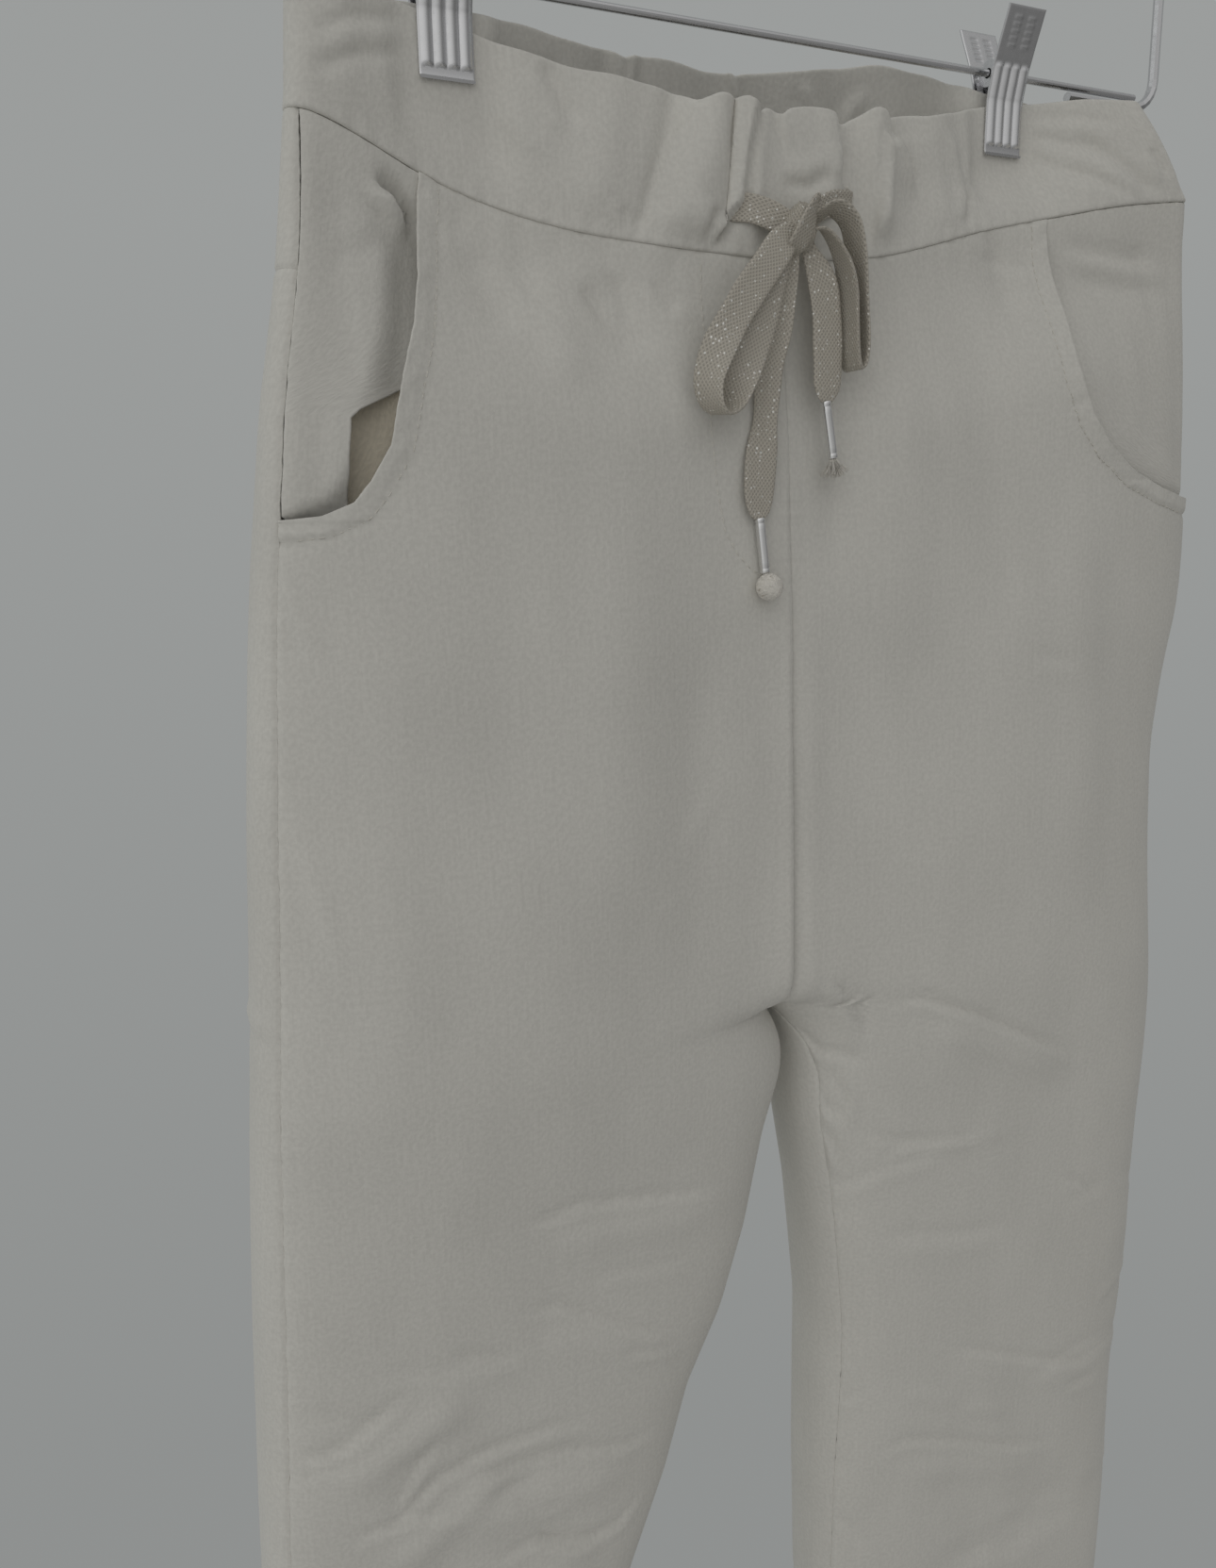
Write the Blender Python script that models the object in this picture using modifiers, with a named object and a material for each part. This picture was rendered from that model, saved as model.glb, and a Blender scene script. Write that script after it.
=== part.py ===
"""Joggers hung by their waistband on a wire clip hanger.

Metres, +X to the viewer's right, -Y to the front, +Z up. The origin is the inside top of the hanger's hook.
The tables are in millimetres: "out" is forward of the rod, "drop" is below it, x is from the centre seam.
"""

import math

import bmesh
import bpy
import numpy as np
from mathutils import Matrix, Vector

MM = 0.001

# Driving dimensions of the cloth
CLOTH_WALL = 0.0012
BAND_WALL = 0.0020
SEAM_GAP = 0.0003
SEAM_TRIM = 0.15
WAIST_TRIM = 0.3
HEM_DROP = 1040.0
HEM_BAND = 26.0
HEM_RAISE = 0.7
CROTCH_DROP = 372.0
RISE_SPLIT_FROM = 180.0

# Driving dimensions of the hanger
ROD_DROP = 0.205
ROD_RADIUS = 0.00145
FRAME_RADIUS = 0.0021
FRAME_HALF_WIDTH = 0.2045
FRAME_SIDE_HEIGHT = 0.070
FRAME_CORNER = 0.012
FRAME_SHOULDER = 0.024
STUB_END = 0.155
NECK_HEIGHT = 0.018
NECK_RADIUS = 0.0055
NECK_TOP = -0.062
NECK_CLEARANCE = 0.0010
HOOK_RADIUS = 0.024
CLIP_AT = 0.118
CLIP_WIDTH = 0.0187
CLIP_SHEET = 0.0010
SPRING_RADIUS = 0.0050
SPRING_BORE = 0.0019
SPRING_WIDTH = 0.0125

# Driving dimensions of the drawstring
TAPE_WALL = 1.4
TIP_RADIUS = 0.0019

# The body: how far each leg's outer and inner edge stands from the centre, and how deep it is
BODY_COLUMNS = ("drop", "left_out", "left_in", "right_in", "right_out", "front", "back", "swell")
BODY = (
    (43, 171, 0, 0, 207, 14, 12, 0),
    (92, 178, 0, 0, 212, 24, 24, 1),
    (133, 186, 0, 0, 216, 27, 29, 2),
    (189, 194, 0, 0, 220, 29, 33, 3),
    (215, 197, 0, 0, 219, 30, 34, 4),
    (246, 200, 0, 0, 212, 30, 35, 5),
    (279, 203, 0, 0, 207, 31, 36, 7),
    (322, 206, 0, 0, 208, 32, 36, 8),
    (372, 210, 0, 0, 211, 33, 35, 6),
    (381, 211, -6, 9, 212, 33, 35, 5),
    (392, 212, -10, 14, 213, 33, 34, 4),
    (404, 213, -10, 16, 214, 33, 34, 3),
    (430, 215, -1, 17, 215, 33, 34, 0),
    (472, 218, 8, 24, 216, 32, 33, 0),
    (508, 220, 20, 28, 218, 32, 33, 0),
    (540, 222, 37, 31, 221, 32, 32, 0),
    (580, 224, 49, 31, 222, 31, 32, 0),
    (626, 227, 68, 31, 221, 31, 31, 0),
    (700, 230, 80, 33, 224, 30, 31, 0),
    (800, 231, 86, 44, 224, 28, 29, 0),
    (920, 229, 89, 62, 222, 26, 27, 0),
    (1040, 226, 91, 77, 220, 24, 25, 0),
)

# How softly the tables' corners are eased along the waistband's edges and its seam
EDGE_REACH = 5.0
SEAM_REACH = 12.0

# The waistband: the drop of its top edge and of its seam, and how far each stands from the rod
BAND_COLUMNS = (
    "x", "front_top", "front_seam", "front_top_out", "front_seam_out",
    "back_top", "back_seam", "back_top_out", "back_seam_out",
)
BAND = (
    (-171, 8, 43, 7, 8, 8, 43, 7, 8),
    (-150, 8, 51, 6, 8, 8, 51, 6, 8),
    (-128, 10, 61, 2.3, 5, 8, 56, 2.3, 5),
    (-108, 15, 68, 2.3, 6, 8, 58.5, 2.3, 6),
    (-84, 22, 75, 8, 12, 8, 59, 8, 12),
    (-50, 28, 79, 14, 18, 9, 59, 13, 17),
    (0, 31, 82, 18, 22, 9, 59, 16, 21),
    (40, 28, 78.5, 16, 20, 3, 54.5, 14, 19),
    (66, 25, 72.5, 12, 16, 1, 53.5, 11, 15),
    (88, 19, 66, 8, 12, 2, 54, 7, 11),
    (108, 13, 61, 2.3, 7, 7, 56, 2.3, 6),
    (128, 10, 57, 2.3, 6, 8, 56, 2.3, 6),
    (165, 8, 50, 8, 10, 8, 50, 7, 9),
    (207, 8, 45, 8, 10, 8, 45, 7, 9),
)
BAND_TOP_LEFT = -168.0
BAND_TOP_RIGHT = 180.0
BAND_HELD = 128.0
BAND_PINCHED = 2.3
BAND_BELLY = 1.6
PINCH_HALF_WIDTH = 18.0
PINCH_HELD_TO = 0.5
PINCH_FADE = 0.4

# How far in front of the side fold the side seam lies
SIDE_SEAM_COLUMNS = ("drop", "left", "right")
SIDE_SEAM = ((43, 7, 2), (100, 12, 4), (250, 17, 5), (430, 22, 6), (1040, 22, 8))

# How far in front of a leg's inner edge its inside seam lies; the right leg's shows at the front
INSIDE_SEAM_COLUMNS = ("drop", "left", "right")
INSIDE_SEAM = ((372, 0, 0), (381, 0, 9), (393, 0, 17), (410, 0, 22), (560, 0, 22), (700, 2, 17), (1040, 4, 8))

# The pocket openings: how far the front panel's cut edge stands from the centre
POCKET_COLUMNS = ("drop", "left", "right")
POCKET = (
    (50, 129, 131.5), (76, 133, 132), (93, 136, 132.5), (108, 139.5, 133), (120, 143.5, 134.5), (135, 147.5, 141),
    (146, 150, 151), (157, 157, 168), (164, 163, 188), (168, 173, 206), (168.7, 181, 213),
    (169.2, 188, 219), (169.5, 196, 226),
)
POCKET_FOOT = 169.5
FRONT_FLAT_FROM = 176.0

# The facing's free edge, measured outwards from the pocket's edge
FACING_COLUMNS = ("drop", "left", "right")
FACING = (
    (50, -14, -14), (118, -12, -12), (128, -2, -12), (135, 11, -12), (143, 24, -12), (155, 22, -8), (163, 15, -3),
    (168, 7, 1), (186, -4, -8),
)
FACING_DEPTH = 2.8
FACING_END = 188.0
FACING_LEAST = 20.0
FACING_AT_SIDE = 0.2
FACING_SIDE_EASE = 14.0
FACING_FLAT_BELOW = 158.0
BAG_DEPTH = 5.6
BAG_OVERLAP = 24.0
BAG_SIDE_MARGIN = 16.0
BAG_LEAST = 10.0

# The back yoke's lower seam, at the side and at the centre
YOKE_SIDE_DROP = 88.0
YOKE_CENTRE_DROP = 126.0
BACK_FLAT_FROM = 200.0

# The largest folds: a line from one point to another, its half width, and its height (a trough is negative)
FOLD_COLUMNS = ("x1", "drop1", "x2", "drop2", "half_width", "height")
FRONT_FOLDS = (
    (-118, 80, -104, 112, 7, -2.0),
    (-92, 84, -84, 130, 8, 2.0),
    (-74, 88, -56, 118, 7, -2.2),
    (-40, 92, -44, 150, 10, 1.6),
    (17, 92, 18, 210, 14, -2.4),
    (47, 92, 51, 240, 16, 2.4),
    (88, 86, 96, 240, 14, -2.2),
    (104, 66, 112, 96, 6, -1.8),
    (133, 150, 145, 330, 16, 2.0),
    (-70, 130, -78, 330, 18, 2.4),
    (-112, 120, -124, 300, 14, -2.0),
    (-158, 190, -168, 420, 16, 1.6),
    (-38, 200, -46, 360, 14, -1.6),
    (58, 370, 157, 423, 9, -3.0),
    (48, 388, 120, 418, 8, 2.4),
    (41, 429, 87, 446, 7, -2.2),
    (94, 558, 192, 603, 9, -2.8),
    (47, 606, 173, 647, 11, 3.2),
    (156, 487, 186, 508, 8, -2.2),
    (22, 360, 40, 396, 7, -2.6),
    (18, 396, 40, 430, 7, 2.6),
    (24, 435, 60, 470, 8, -2.4),
    (-119, 428, -22, 442, 9, -3.0),
    (-108, 452, -40, 470, 8, 2.6),
    (-110, 475, -46, 508, 9, -3.2),
    (-205, 536, -80, 520, 12, 4.0),
    (-210, 560, -100, 548, 10, -3.0),
    (-151, 529, -60, 548, 9, -2.6),
    (-213, 510, -168, 486, 9, 2.6),
    (-160, 560, -70, 612, 12, 3.0),
    (-180, 640, -90, 660, 12, -2.6),
    (-200, 700, -110, 690, 14, 2.6),
    (70, 700, 190, 680, 14, -2.8),
    (90, 760, 200, 790, 14, 2.6),
    (-210, 780, -110, 800, 14, -2.4),
    (-190, 980, -120, 1000, 10, 2.2),
    (110, 985, 190, 1000, 10, 2.0),
)
BACK_FOLDS = (
    (0, 140, 4, 300, 12, 2.0),
    (-50, 100, -58, 320, 16, -2.4),
    (-96, 110, -106, 340, 16, 2.4),
    (-140, 120, -150, 300, 12, -1.8),
    (52, 100, 60, 330, 16, -2.2),
    (100, 110, 112, 340, 16, 2.4),
    (150, 120, 160, 310, 14, -1.8),
    (-150, 330, -30, 372, 12, -3.2),
    (-140, 356, -24, 404, 10, 2.8),
    (160, 336, 40, 380, 12, -3.2),
    (150, 366, 44, 414, 10, 2.8),
    (-190, 450, -60, 486, 11, -2.8),
    (-180, 520, -60, 500, 12, 3.0),
    (190, 460, 70, 496, 11, -2.8),
    (180, 540, 60, 516, 12, 3.0),
    (-200, 590, -80, 620, 12, -3.0),
    (200, 600, 60, 640, 12, -3.0),
    (-200, 700, -110, 680, 14, 2.6),
    (200, 720, 80, 690, 14, 2.6),
    (-210, 820, -110, 850, 14, -2.4),
    (200, 830, 90, 860, 14, -2.4),
)
# Gathers of the elastic waistband: where each starts and ends, its half width and its height
GATHER_COLUMNS = ("x_top", "x_seam", "half_width", "height")
FRONT_GATHERS = (
    (-152, -156, 6, 1.2),
    (-96, -100, 6, 1.3),
    (-66, -80, 6, -1.3),
    (-45, -62, 6, 1.4),
    (-33, -52, 5, -1.8),
    (-17, -21, 5, -1.4),
    (-9, -30, 5, 2.2),
    (1, 4, 4, 1.2),
    (18, 20, 6, 1.2),
    (31, 36, 5, -1.2),
    (43, 55, 5, -2.2),
    (62, 66, 6, 1.5),
    (84, 86, 6, -1.2),
    (150, 158, 7, 1.8),
    (168, 182, 6, -1.4),
)
BACK_GATHERS = (
    (-150, -154, 6, 1.2),
    (-92, -94, 7, 1.4),
    (-72, -76, 5, -1.3),
    (-50, -52, 6, 1.5),
    (-30, -33, 5, -1.4),
    (-8, -2, 5, -2.0),
    (4, 6, 6, 1.8),
    (24, 28, 5, -1.3),
    (44, 46, 6, 1.4),
    (64, 68, 5, -1.3),
    (86, 88, 6, 1.2),
    (152, 160, 7, 1.5),
)

# How many rows and columns a wall is made of
FRONT_PLACES = (0, 0.02, 0.05, 0.11, 0.2, 0.31, 0.43, 0.55, 0.66, 0.76, 0.84, 0.9, 0.94, 0.97, 1)
BACK_PLACES = {
    "left": (0, 0.02, 0.05, 0.11, 0.2, 0.31, 0.43, 0.55, 0.66, 0.76, 0.83, 0.88, 0.92, 0.96, 1),
    "right": (0, 0.03, 0.08, 0.13, 0.17, 0.215, 0.31, 0.43, 0.55, 0.67, 0.78, 0.86, 0.915, 0.96, 1),
}
FRONT_ROWS = (
    0.0, 0.14, 0.3, 0.46, 0.62, 0.74, 0.82, 0.865, 0.89, 0.91, 0.925, 0.936, 0.944, 0.95, 0.954, 1.0,
)
BACK_ROWS = (0.0, 0.36, 0.6, 0.778, 1.0)
LOWER_ROWS = (
    226, 250, 274, 298, 320, 340, 354, 364, 372, 381, 393, 410, 430, 452, 476, 502, 528, 554, 582, 614,
    650, 690, 740, 800, 870, 945, 1012, 1015, 1040,
)
FACING_PLACES = (0, 0.2, 0.4, 0.56, 0.7, 0.82, 0.91, 1)
BAG_PLACES = (0, 0.18, 0.36, 0.53, 0.69, 0.84, 1)
POCKET_ROWS = (0.0, 0.13, 0.26, 0.39, 0.5, 0.6, 0.69, 0.77, 0.84, 0.91, 1.0)
BAND_PLACES = 64
BAND_ROWS = 4

CLOTH_COLOUR = (0.62, 0.605, 0.55, 1.0)
FACING_COLOUR = (0.50, 0.48, 0.43, 1.0)
TAPE_COLOUR = (0.33, 0.30, 0.27, 1.0)
METAL_COLOUR = (0.62, 0.62, 0.63, 1.0)
THREAD_COLOUR = (0.55, 0.50, 0.43, 1.0)


def clear_scene():
    """Removes what the scene holds."""
    for found in list(bpy.data.objects):
        bpy.data.objects.remove(found, do_unlink=True)
    for found in list(bpy.data.collections):
        bpy.data.collections.remove(found)


def new_collection(name):
    collection = bpy.data.collections.new(name)
    bpy.context.scene.collection.children.link(collection)
    return collection


def material(name, colour, roughness, metallic=0.0):
    """A Principled material."""
    made = bpy.data.materials.new(name)
    made.use_nodes = True
    shader = made.node_tree.nodes["Principled BSDF"]
    shader.inputs["Base Color"].default_value = colour
    shader.inputs["Roughness"].default_value = roughness
    shader.inputs["Metallic"].default_value = metallic
    return made


def column(rows, names, name):
    return [row[names.index(name)] for row in rows]


def read(rows, names, name, at, reach=9.0):
    """A table's column at a place, eased round the table's corners."""
    places = column(rows, names, names[0])
    values = column(rows, names, name)
    at = np.asarray(at, float)
    steps = (-reach, -0.5 * reach, 0.0, 0.5 * reach, reach)
    return sum(np.interp(at + step, places, values) for step in steps) / len(steps)


def ease(t):
    """A smooth step from 0 to 1."""
    t = np.clip(t, 0.0, 1.0)
    return t * t * (3.0 - 2.0 * t)


def fold_height(folds, x, drop):
    """The height of all the folds at points of a panel."""
    height = np.zeros_like(x)
    for x1, drop1, x2, drop2, half_width, rise in folds:
        run = np.array((x2 - x1, drop2 - drop1), float)
        length = np.hypot(*run)
        along = ((x - x1) * run[0] + (drop - drop1) * run[1]) / length**2
        aside = ((x - x1) * run[1] - (drop - drop1) * run[0]) / length
        fade = ease(along / 0.3) * ease((1.0 - along) / 0.3)
        height += rise * fade * np.exp(-((aside / half_width) ** 2))
    return height


def gather_height(gathers, x, t):
    """The height of the waistband's gathers at a share t of the way down it."""
    height = np.zeros_like(x)
    for x_top, x_seam, half_width, rise in gathers:
        centre = x_top + (x_seam - x_top) * t
        height += rise * np.exp(-(((x - centre) / half_width) ** 2))
    return height


def closing(x, edge, radius=9.0):
    """1 on the flat of a folded tube, falling round to 0 at its edge."""
    near = np.clip((np.abs(x) - (edge - radius)) / radius, 0.0, 1.0)
    return np.sqrt(1.0 - near * near)


def seam_line(face, x):
    """The drop of the waist seam."""
    return read(BAND, BAND_COLUMNS, face + "_seam", x, SEAM_REACH)


def yoke_line(x):
    """The drop of the back yoke's lower seam, a shallow V."""
    share = np.clip(np.abs(x) / 195.0, 0.0, 1.0)
    return YOKE_CENTRE_DROP + (YOKE_SIDE_DROP - YOKE_CENTRE_DROP) * share


def side_out(side, drop):
    """How far back (negative: forward) the side fold of a leg lies."""
    if side == "left":
        return 0.0 * drop
    return -14.0 + 10.0 * ease((drop - 380.0) / 260.0)


def rise_share(drop, power):
    """0 where the trunk is one tube, 1 at the crotch, where it has become two legs."""
    return float(np.clip((drop - RISE_SPLIT_FROM) / (CROTCH_DROP - RISE_SPLIT_FROM), 0.0, 1.0)) ** power


# How square a leg's section is, and how finely it is worked out before its points are picked
SQUARE_X = 0.5
SQUARE_Y = 0.75
SAMPLES = 360
BAND_SAMPLES = 2400


def leg_half(side, face, drop_of):
    """One half of a leg's section, as x from the centre, out and drop, from the inner edge to the outer.

    drop_of gives the drop at an x. The section is a squared oval. Above the crotch the half that would
    cross the centre is left off, so that the two sides make one trunk.
    """
    sign = -1.0 if side == "left" else 1.0
    level = float(drop_of(sign * 190.0))
    outer = float(read(BODY, BODY_COLUMNS, side + "_out", level))
    inner = float(read(BODY, BODY_COLUMNS, side + "_in", level, 4.0)) if level > CROTCH_DROP else 0.0
    split = rise_share(level, 2.6)
    half = (outer - inner) / (1.0 + split)
    centre = outer - half
    closed = max(rise_share(level, 16.0), 1e-9)
    start = math.acos(closed)
    turn = np.concatenate([np.linspace(start, 0.5 * math.pi, SAMPLES // 2),
                           np.linspace(0.5 * math.pi, math.pi, SAMPLES // 2 + 1)[1:]])
    cosine = np.cos(turn)
    towards = (centre - inner) * np.clip(cosine / closed, 0.0, 1.0) ** SQUARE_X
    x = np.where(cosine > 0.0, centre - towards, centre + half * np.abs(cosine) ** SQUARE_X)
    x = np.maximum(x, inner)
    signed = sign * (x + 0.5 * SEAM_GAP / MM)
    drop = drop_of(signed)
    depth = read(BODY, BODY_COLUMNS, face, drop)
    swell = read(BODY, BODY_COLUMNS, "swell", drop)
    lobe = np.sin(math.pi * np.clip(x / outer, 0.0, 1.0)) ** 2
    round_off = np.sin(turn) ** SQUARE_Y
    out = (depth + swell * lobe) * round_off
    seam = seam_line(face, signed)
    band_out = read(BAND, BAND_COLUMNS, face + "_seam_out", signed, EDGE_REACH) * closing(x, outer)
    free = ease((drop - seam) / 70.0)
    out = (1.0 - free) * band_out + free * out
    folds = FRONT_FOLDS if face == "front" else BACK_FOLDS
    out = out + fold_height(folds, signed, drop) * round_off * ease((outer - x) / 22.0)
    lean = side_out(side, drop) * ease(x / outer)
    forward = out - lean if face == "front" else -out - lean
    return np.stack([signed, forward, drop + 0.0 * x], axis=1)


def leg_round(side, drop_of):
    """A leg's whole section, from the back's inner edge round the side to the front's inner edge.

    Its columns are x, out, drop and the direction into the cloth's hollow, as x and out.
    """
    back = leg_half(side, "back", drop_of)
    front = leg_half(side, "front", drop_of)
    line = np.concatenate([back, front[::-1][1:]])
    steps = np.linalg.norm(np.diff(line[:, :2], axis=0), axis=1)
    length = np.concatenate([[0.0], np.cumsum(steps)])
    even = np.linspace(0.0, length[-1], 4 * SAMPLES)
    line = np.stack([np.interp(even, length, line[:, axis]) for axis in range(3)], axis=1)
    whole = np.linalg.norm(line[0, :2] - line[-1, :2]) < 1.0
    reach = 6
    before = line[:reach] + 2.0 * (line[0] - line[:reach]) if not whole else line[-reach - 1 : -1]
    after = line[-reach:] + 2.0 * (line[-1] - line[-reach:]) if not whole else line[1 : reach + 1]
    before = before[::-1] if not whole else before
    after = after[::-1] if not whole else after
    wide = np.concatenate([before, line, after])
    run = wide[2 * reach :, :2] - wide[: -2 * reach, :2]
    run /= np.linalg.norm(run, axis=1)[:, None]
    hand = -1.0 if side == "left" else 1.0
    inward = hand * np.stack([-run[:, 1], run[:, 0]], axis=1)
    centred = (np.abs(line[:, 0]) < 3.0) & (inward[:, 0] * hand < 0.0)
    inward[centred, 0] = 0.0
    return np.concatenate([line, inward], axis=1)


def trimmed(line, start, end, places):
    """A line cut to the stretch between two lengths along it, as points at shares of the stretch."""
    steps = np.linalg.norm(np.diff(line[:, :3], axis=0), axis=1)
    length = np.concatenate([[0.0], np.cumsum(steps)])
    at = start + (length[-1] - end - start) * np.asarray(places, float)
    return np.stack([np.interp(at, length, values) for values in line.T], axis=1)


def side_seam_at(side, drop):
    """How far in front of the side fold the side seam lies."""
    return float(read(SIDE_SEAM, SIDE_SEAM_COLUMNS, side, drop))


def front_and_back(side, drop_of):
    """A section cut in two at the side seam: the front from its inner edge, the back from its own."""
    line = leg_round(side, drop_of)
    level = float(drop_of(-190.0 if side == "left" else 190.0))
    fold = int(np.argmax(np.abs(line[:, 0])))
    steps = np.linalg.norm(np.diff(line[:, :3], axis=0), axis=1)
    length = np.concatenate([[0.0], np.cumsum(steps)])
    seam = int(np.searchsorted(length, length[fold] + side_seam_at(side, level)))
    if level <= CROTCH_DROP:
        return line[seam:][::-1], line[: seam + 1]
    ahead = float(read(INSIDE_SEAM, INSIDE_SEAM_COLUMNS, side, level, 4.0))
    inside = int(np.searchsorted(length, length[-1] - ahead))
    inside = min(inside, len(line) - 1)
    return line[seam : inside + 1][::-1], np.concatenate([line[inside:-1], line[: seam + 1]])


def front_row(side, drop_of):
    """A row of a front panel, from its inner edge to the pocket's edge or the side seam."""
    line, _ = front_and_back(side, drop_of)
    level = float(drop_of(-190.0 if side == "left" else 190.0))
    inner = SEAM_TRIM if level > CROTCH_DROP - 30.0 else 0.0
    edge = np.interp(line[:, 2], column(POCKET, POCKET_COLUMNS, "drop"), column(POCKET, POCKET_COLUMNS, side))
    inside = (np.abs(line[:, 0]) < edge) & (line[:, 2] < POCKET_FOOT)
    if inside.any():
        last = int(np.nonzero(inside)[0].max())
        beyond = np.linalg.norm(np.diff(line[last:, :3], axis=0), axis=1).sum()
        return trimmed(line[: last + 1], inner, max(0.0, SEAM_TRIM - beyond), FRONT_PLACES)
    return trimmed(line, inner, SEAM_TRIM, FRONT_PLACES)


def back_row(side, drop_of):
    """A row of a back panel, from its inner edge, round the side fold, to the side seam."""
    _, line = front_and_back(side, drop_of)
    level = float(drop_of(-190.0 if side == "left" else 190.0))
    inner = SEAM_TRIM if level > CROTCH_DROP - 30.0 else 0.0
    return trimmed(line, inner, SEAM_TRIM, BACK_PLACES[side])


def blended(top_line, flat, share, gap=0.0):
    """The drop along a row that is a share of the way from a seam to a level line."""
    return lambda x: (top_line(x) + gap) * (1.0 - share) + flat * share


def level_line(drop):
    return lambda x: drop + 0.0 * np.asarray(x, float)


def to_world(line):
    """Table millimetres to metres in the part's frame."""
    return [Vector((x * MM, -out * MM, -ROD_DROP - drop * MM)) for x, out, drop in line]


def moved_in(row, depth):
    """A row moved into the cloth's hollow."""
    moved = row.copy()
    moved[:, :2] += row[:, 3:5] * np.reshape(depth, (-1, 1))
    return moved


def mesh_object(name, vertices, faces, surface, collection):
    """A solid from its points and faces."""
    mesh = bpy.data.meshes.new(name)
    mesh.from_pydata([tuple(vertex) for vertex in vertices], [], faces)
    mesh.materials.append(surface)
    mesh.shade_smooth()
    mesh.set_sharp_from_angle(angle=math.radians(50.0))
    placed = bpy.data.objects.new(name, mesh)
    collection.objects.link(placed)
    return placed


def sheet_object(name, rows, wall, flip, surface, collection):
    """A wall of cloth. Each row's points lie on its outer face and are repeated a wall's thickness in."""
    outer = [point for row in rows for point in to_world(row[:, :3])]
    inner = [point for row in rows for point in to_world(moved_in(row, wall / MM)[:, :3])]
    count = len(rows[0])
    under = len(outer)
    faces = []
    for i in range(len(rows) - 1):
        for j in range(count - 1):
            a = i * count + j
            faces.append((a, a + count, a + count + 1, a + 1))
            faces.append((under + a, under + a + 1, under + a + count + 1, under + a + count))
    around = list(range(count))
    around += [i * count + count - 1 for i in range(1, len(rows))]
    around += [(len(rows) - 1) * count + j for j in range(count - 2, -1, -1)]
    around += [i * count for i in range(len(rows) - 2, 0, -1)]
    for here, after in zip(around, around[1:] + around[:1]):
        faces.append((here, after, under + after, under + here))
    if flip:
        faces = [face[::-1] for face in faces]
    return mesh_object(name, outer + inner, faces, surface, collection)


def hem_raised(row, drop):
    """The turned-up hem stands a little proud of the leg."""
    return moved_in(row, -HEM_RAISE) if drop > HEM_DROP - HEM_BAND else row


def front_panel(side, surface, collection):
    """A front leg panel, from the waist seam to the hem, with its pocket cut-out."""
    lines = [blended(lambda x: seam_line("front", x), FRONT_FLAT_FROM, share, WAIST_TRIM) for share in FRONT_ROWS]
    rows = [front_row(side, line) for line in lines]
    rows += [front_row(side, level_line(200.0))]
    rows += [hem_raised(front_row(side, level_line(drop)), drop) for drop in LOWER_ROWS]
    return sheet_object("front_" + side, rows, CLOTH_WALL, side == "left", surface, collection)


def back_panel(side, surface, collection):
    """A back leg panel, from the yoke seam to the hem."""
    rows = [back_row(side, blended(yoke_line, BACK_FLAT_FROM, share, SEAM_TRIM)) for share in BACK_ROWS]
    rows += [hem_raised(back_row(side, level_line(drop)), drop) for drop in LOWER_ROWS]
    return sheet_object("back_" + side, rows, CLOTH_WALL, side == "right", surface, collection)


def yoke(side, surface, collection):
    """A back yoke piece, between the waist seam and the yoke seam."""
    rows = []
    for share in (0.0, 0.33, 0.67, 1.0):
        def line(x, share=share):
            top = seam_line("back", x) + WAIST_TRIM
            foot = yoke_line(x) - SEAM_TRIM
            return top * (1.0 - share) + foot * share
        rows.append(back_row(side, line))
    return sheet_object("yoke_" + side, rows, CLOTH_WALL, side == "right", surface, collection)


def pocket_facing(side, surface, collection):
    """The panel seen inside the pocket's opening, sewn in at the waist and the side seam."""
    rows = []
    for share in POCKET_ROWS:
        drop_of = blended(lambda x: seam_line("front", x), FACING_END, share, WAIST_TRIM)
        line, _ = front_and_back(side, drop_of)
        x = np.abs(line[:, 0])
        edge = np.interp(line[:, 2], column(POCKET, POCKET_COLUMNS, "drop"), column(POCKET, POCKET_COLUMNS, side))
        ahead = np.interp(line[:, 2], column(FACING, FACING_COLUMNS, "drop"), column(FACING, FACING_COLUMNS, side))
        kept = (x >= edge + ahead) | (x >= x.max() - FACING_LEAST)
        row = trimmed(line[int(np.nonzero(kept)[0].min()) :], 0.0, 3.0 * SEAM_TRIM, FACING_PLACES)
        from_side = np.linalg.norm(row[:, :2] - row[-1, :2], axis=1)
        shown = ease((FACING_FLAT_BELOW - row[:, 2]) / FACING_SIDE_EASE)
        shallow = FACING_AT_SIDE + (FACING_DEPTH - FACING_AT_SIDE) * ease(from_side / FACING_SIDE_EASE)
        rows.append(moved_in(row, shown * shallow + (1.0 - shown) * FACING_DEPTH))
    return sheet_object("pocket_facing_" + side, rows, CLOTH_WALL, side == "left", surface, collection)


def pocket_bag(side, surface, collection):
    """The thin pocket bag behind the facing, of which a corner shows."""
    rows = []
    for share in POCKET_ROWS:
        drop_of = blended(lambda x: seam_line("front", x), FACING_END, share, WAIST_TRIM)
        line, _ = front_and_back(side, drop_of)
        x = np.abs(line[:, 0])
        edge = np.interp(line[:, 2], column(POCKET, POCKET_COLUMNS, "drop"), column(POCKET, POCKET_COLUMNS, side))
        outer = x.max() - BAG_SIDE_MARGIN
        keep = (x >= np.minimum(edge - BAG_OVERLAP, outer - BAG_LEAST)) & (x <= outer)
        rows.append(moved_in(trimmed(line[keep], 0.0, 0.0, BAG_PLACES), BAG_DEPTH))
    return sheet_object("pocket_bag_" + side, rows, CLOTH_WALL, side == "left", surface, collection)


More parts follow.
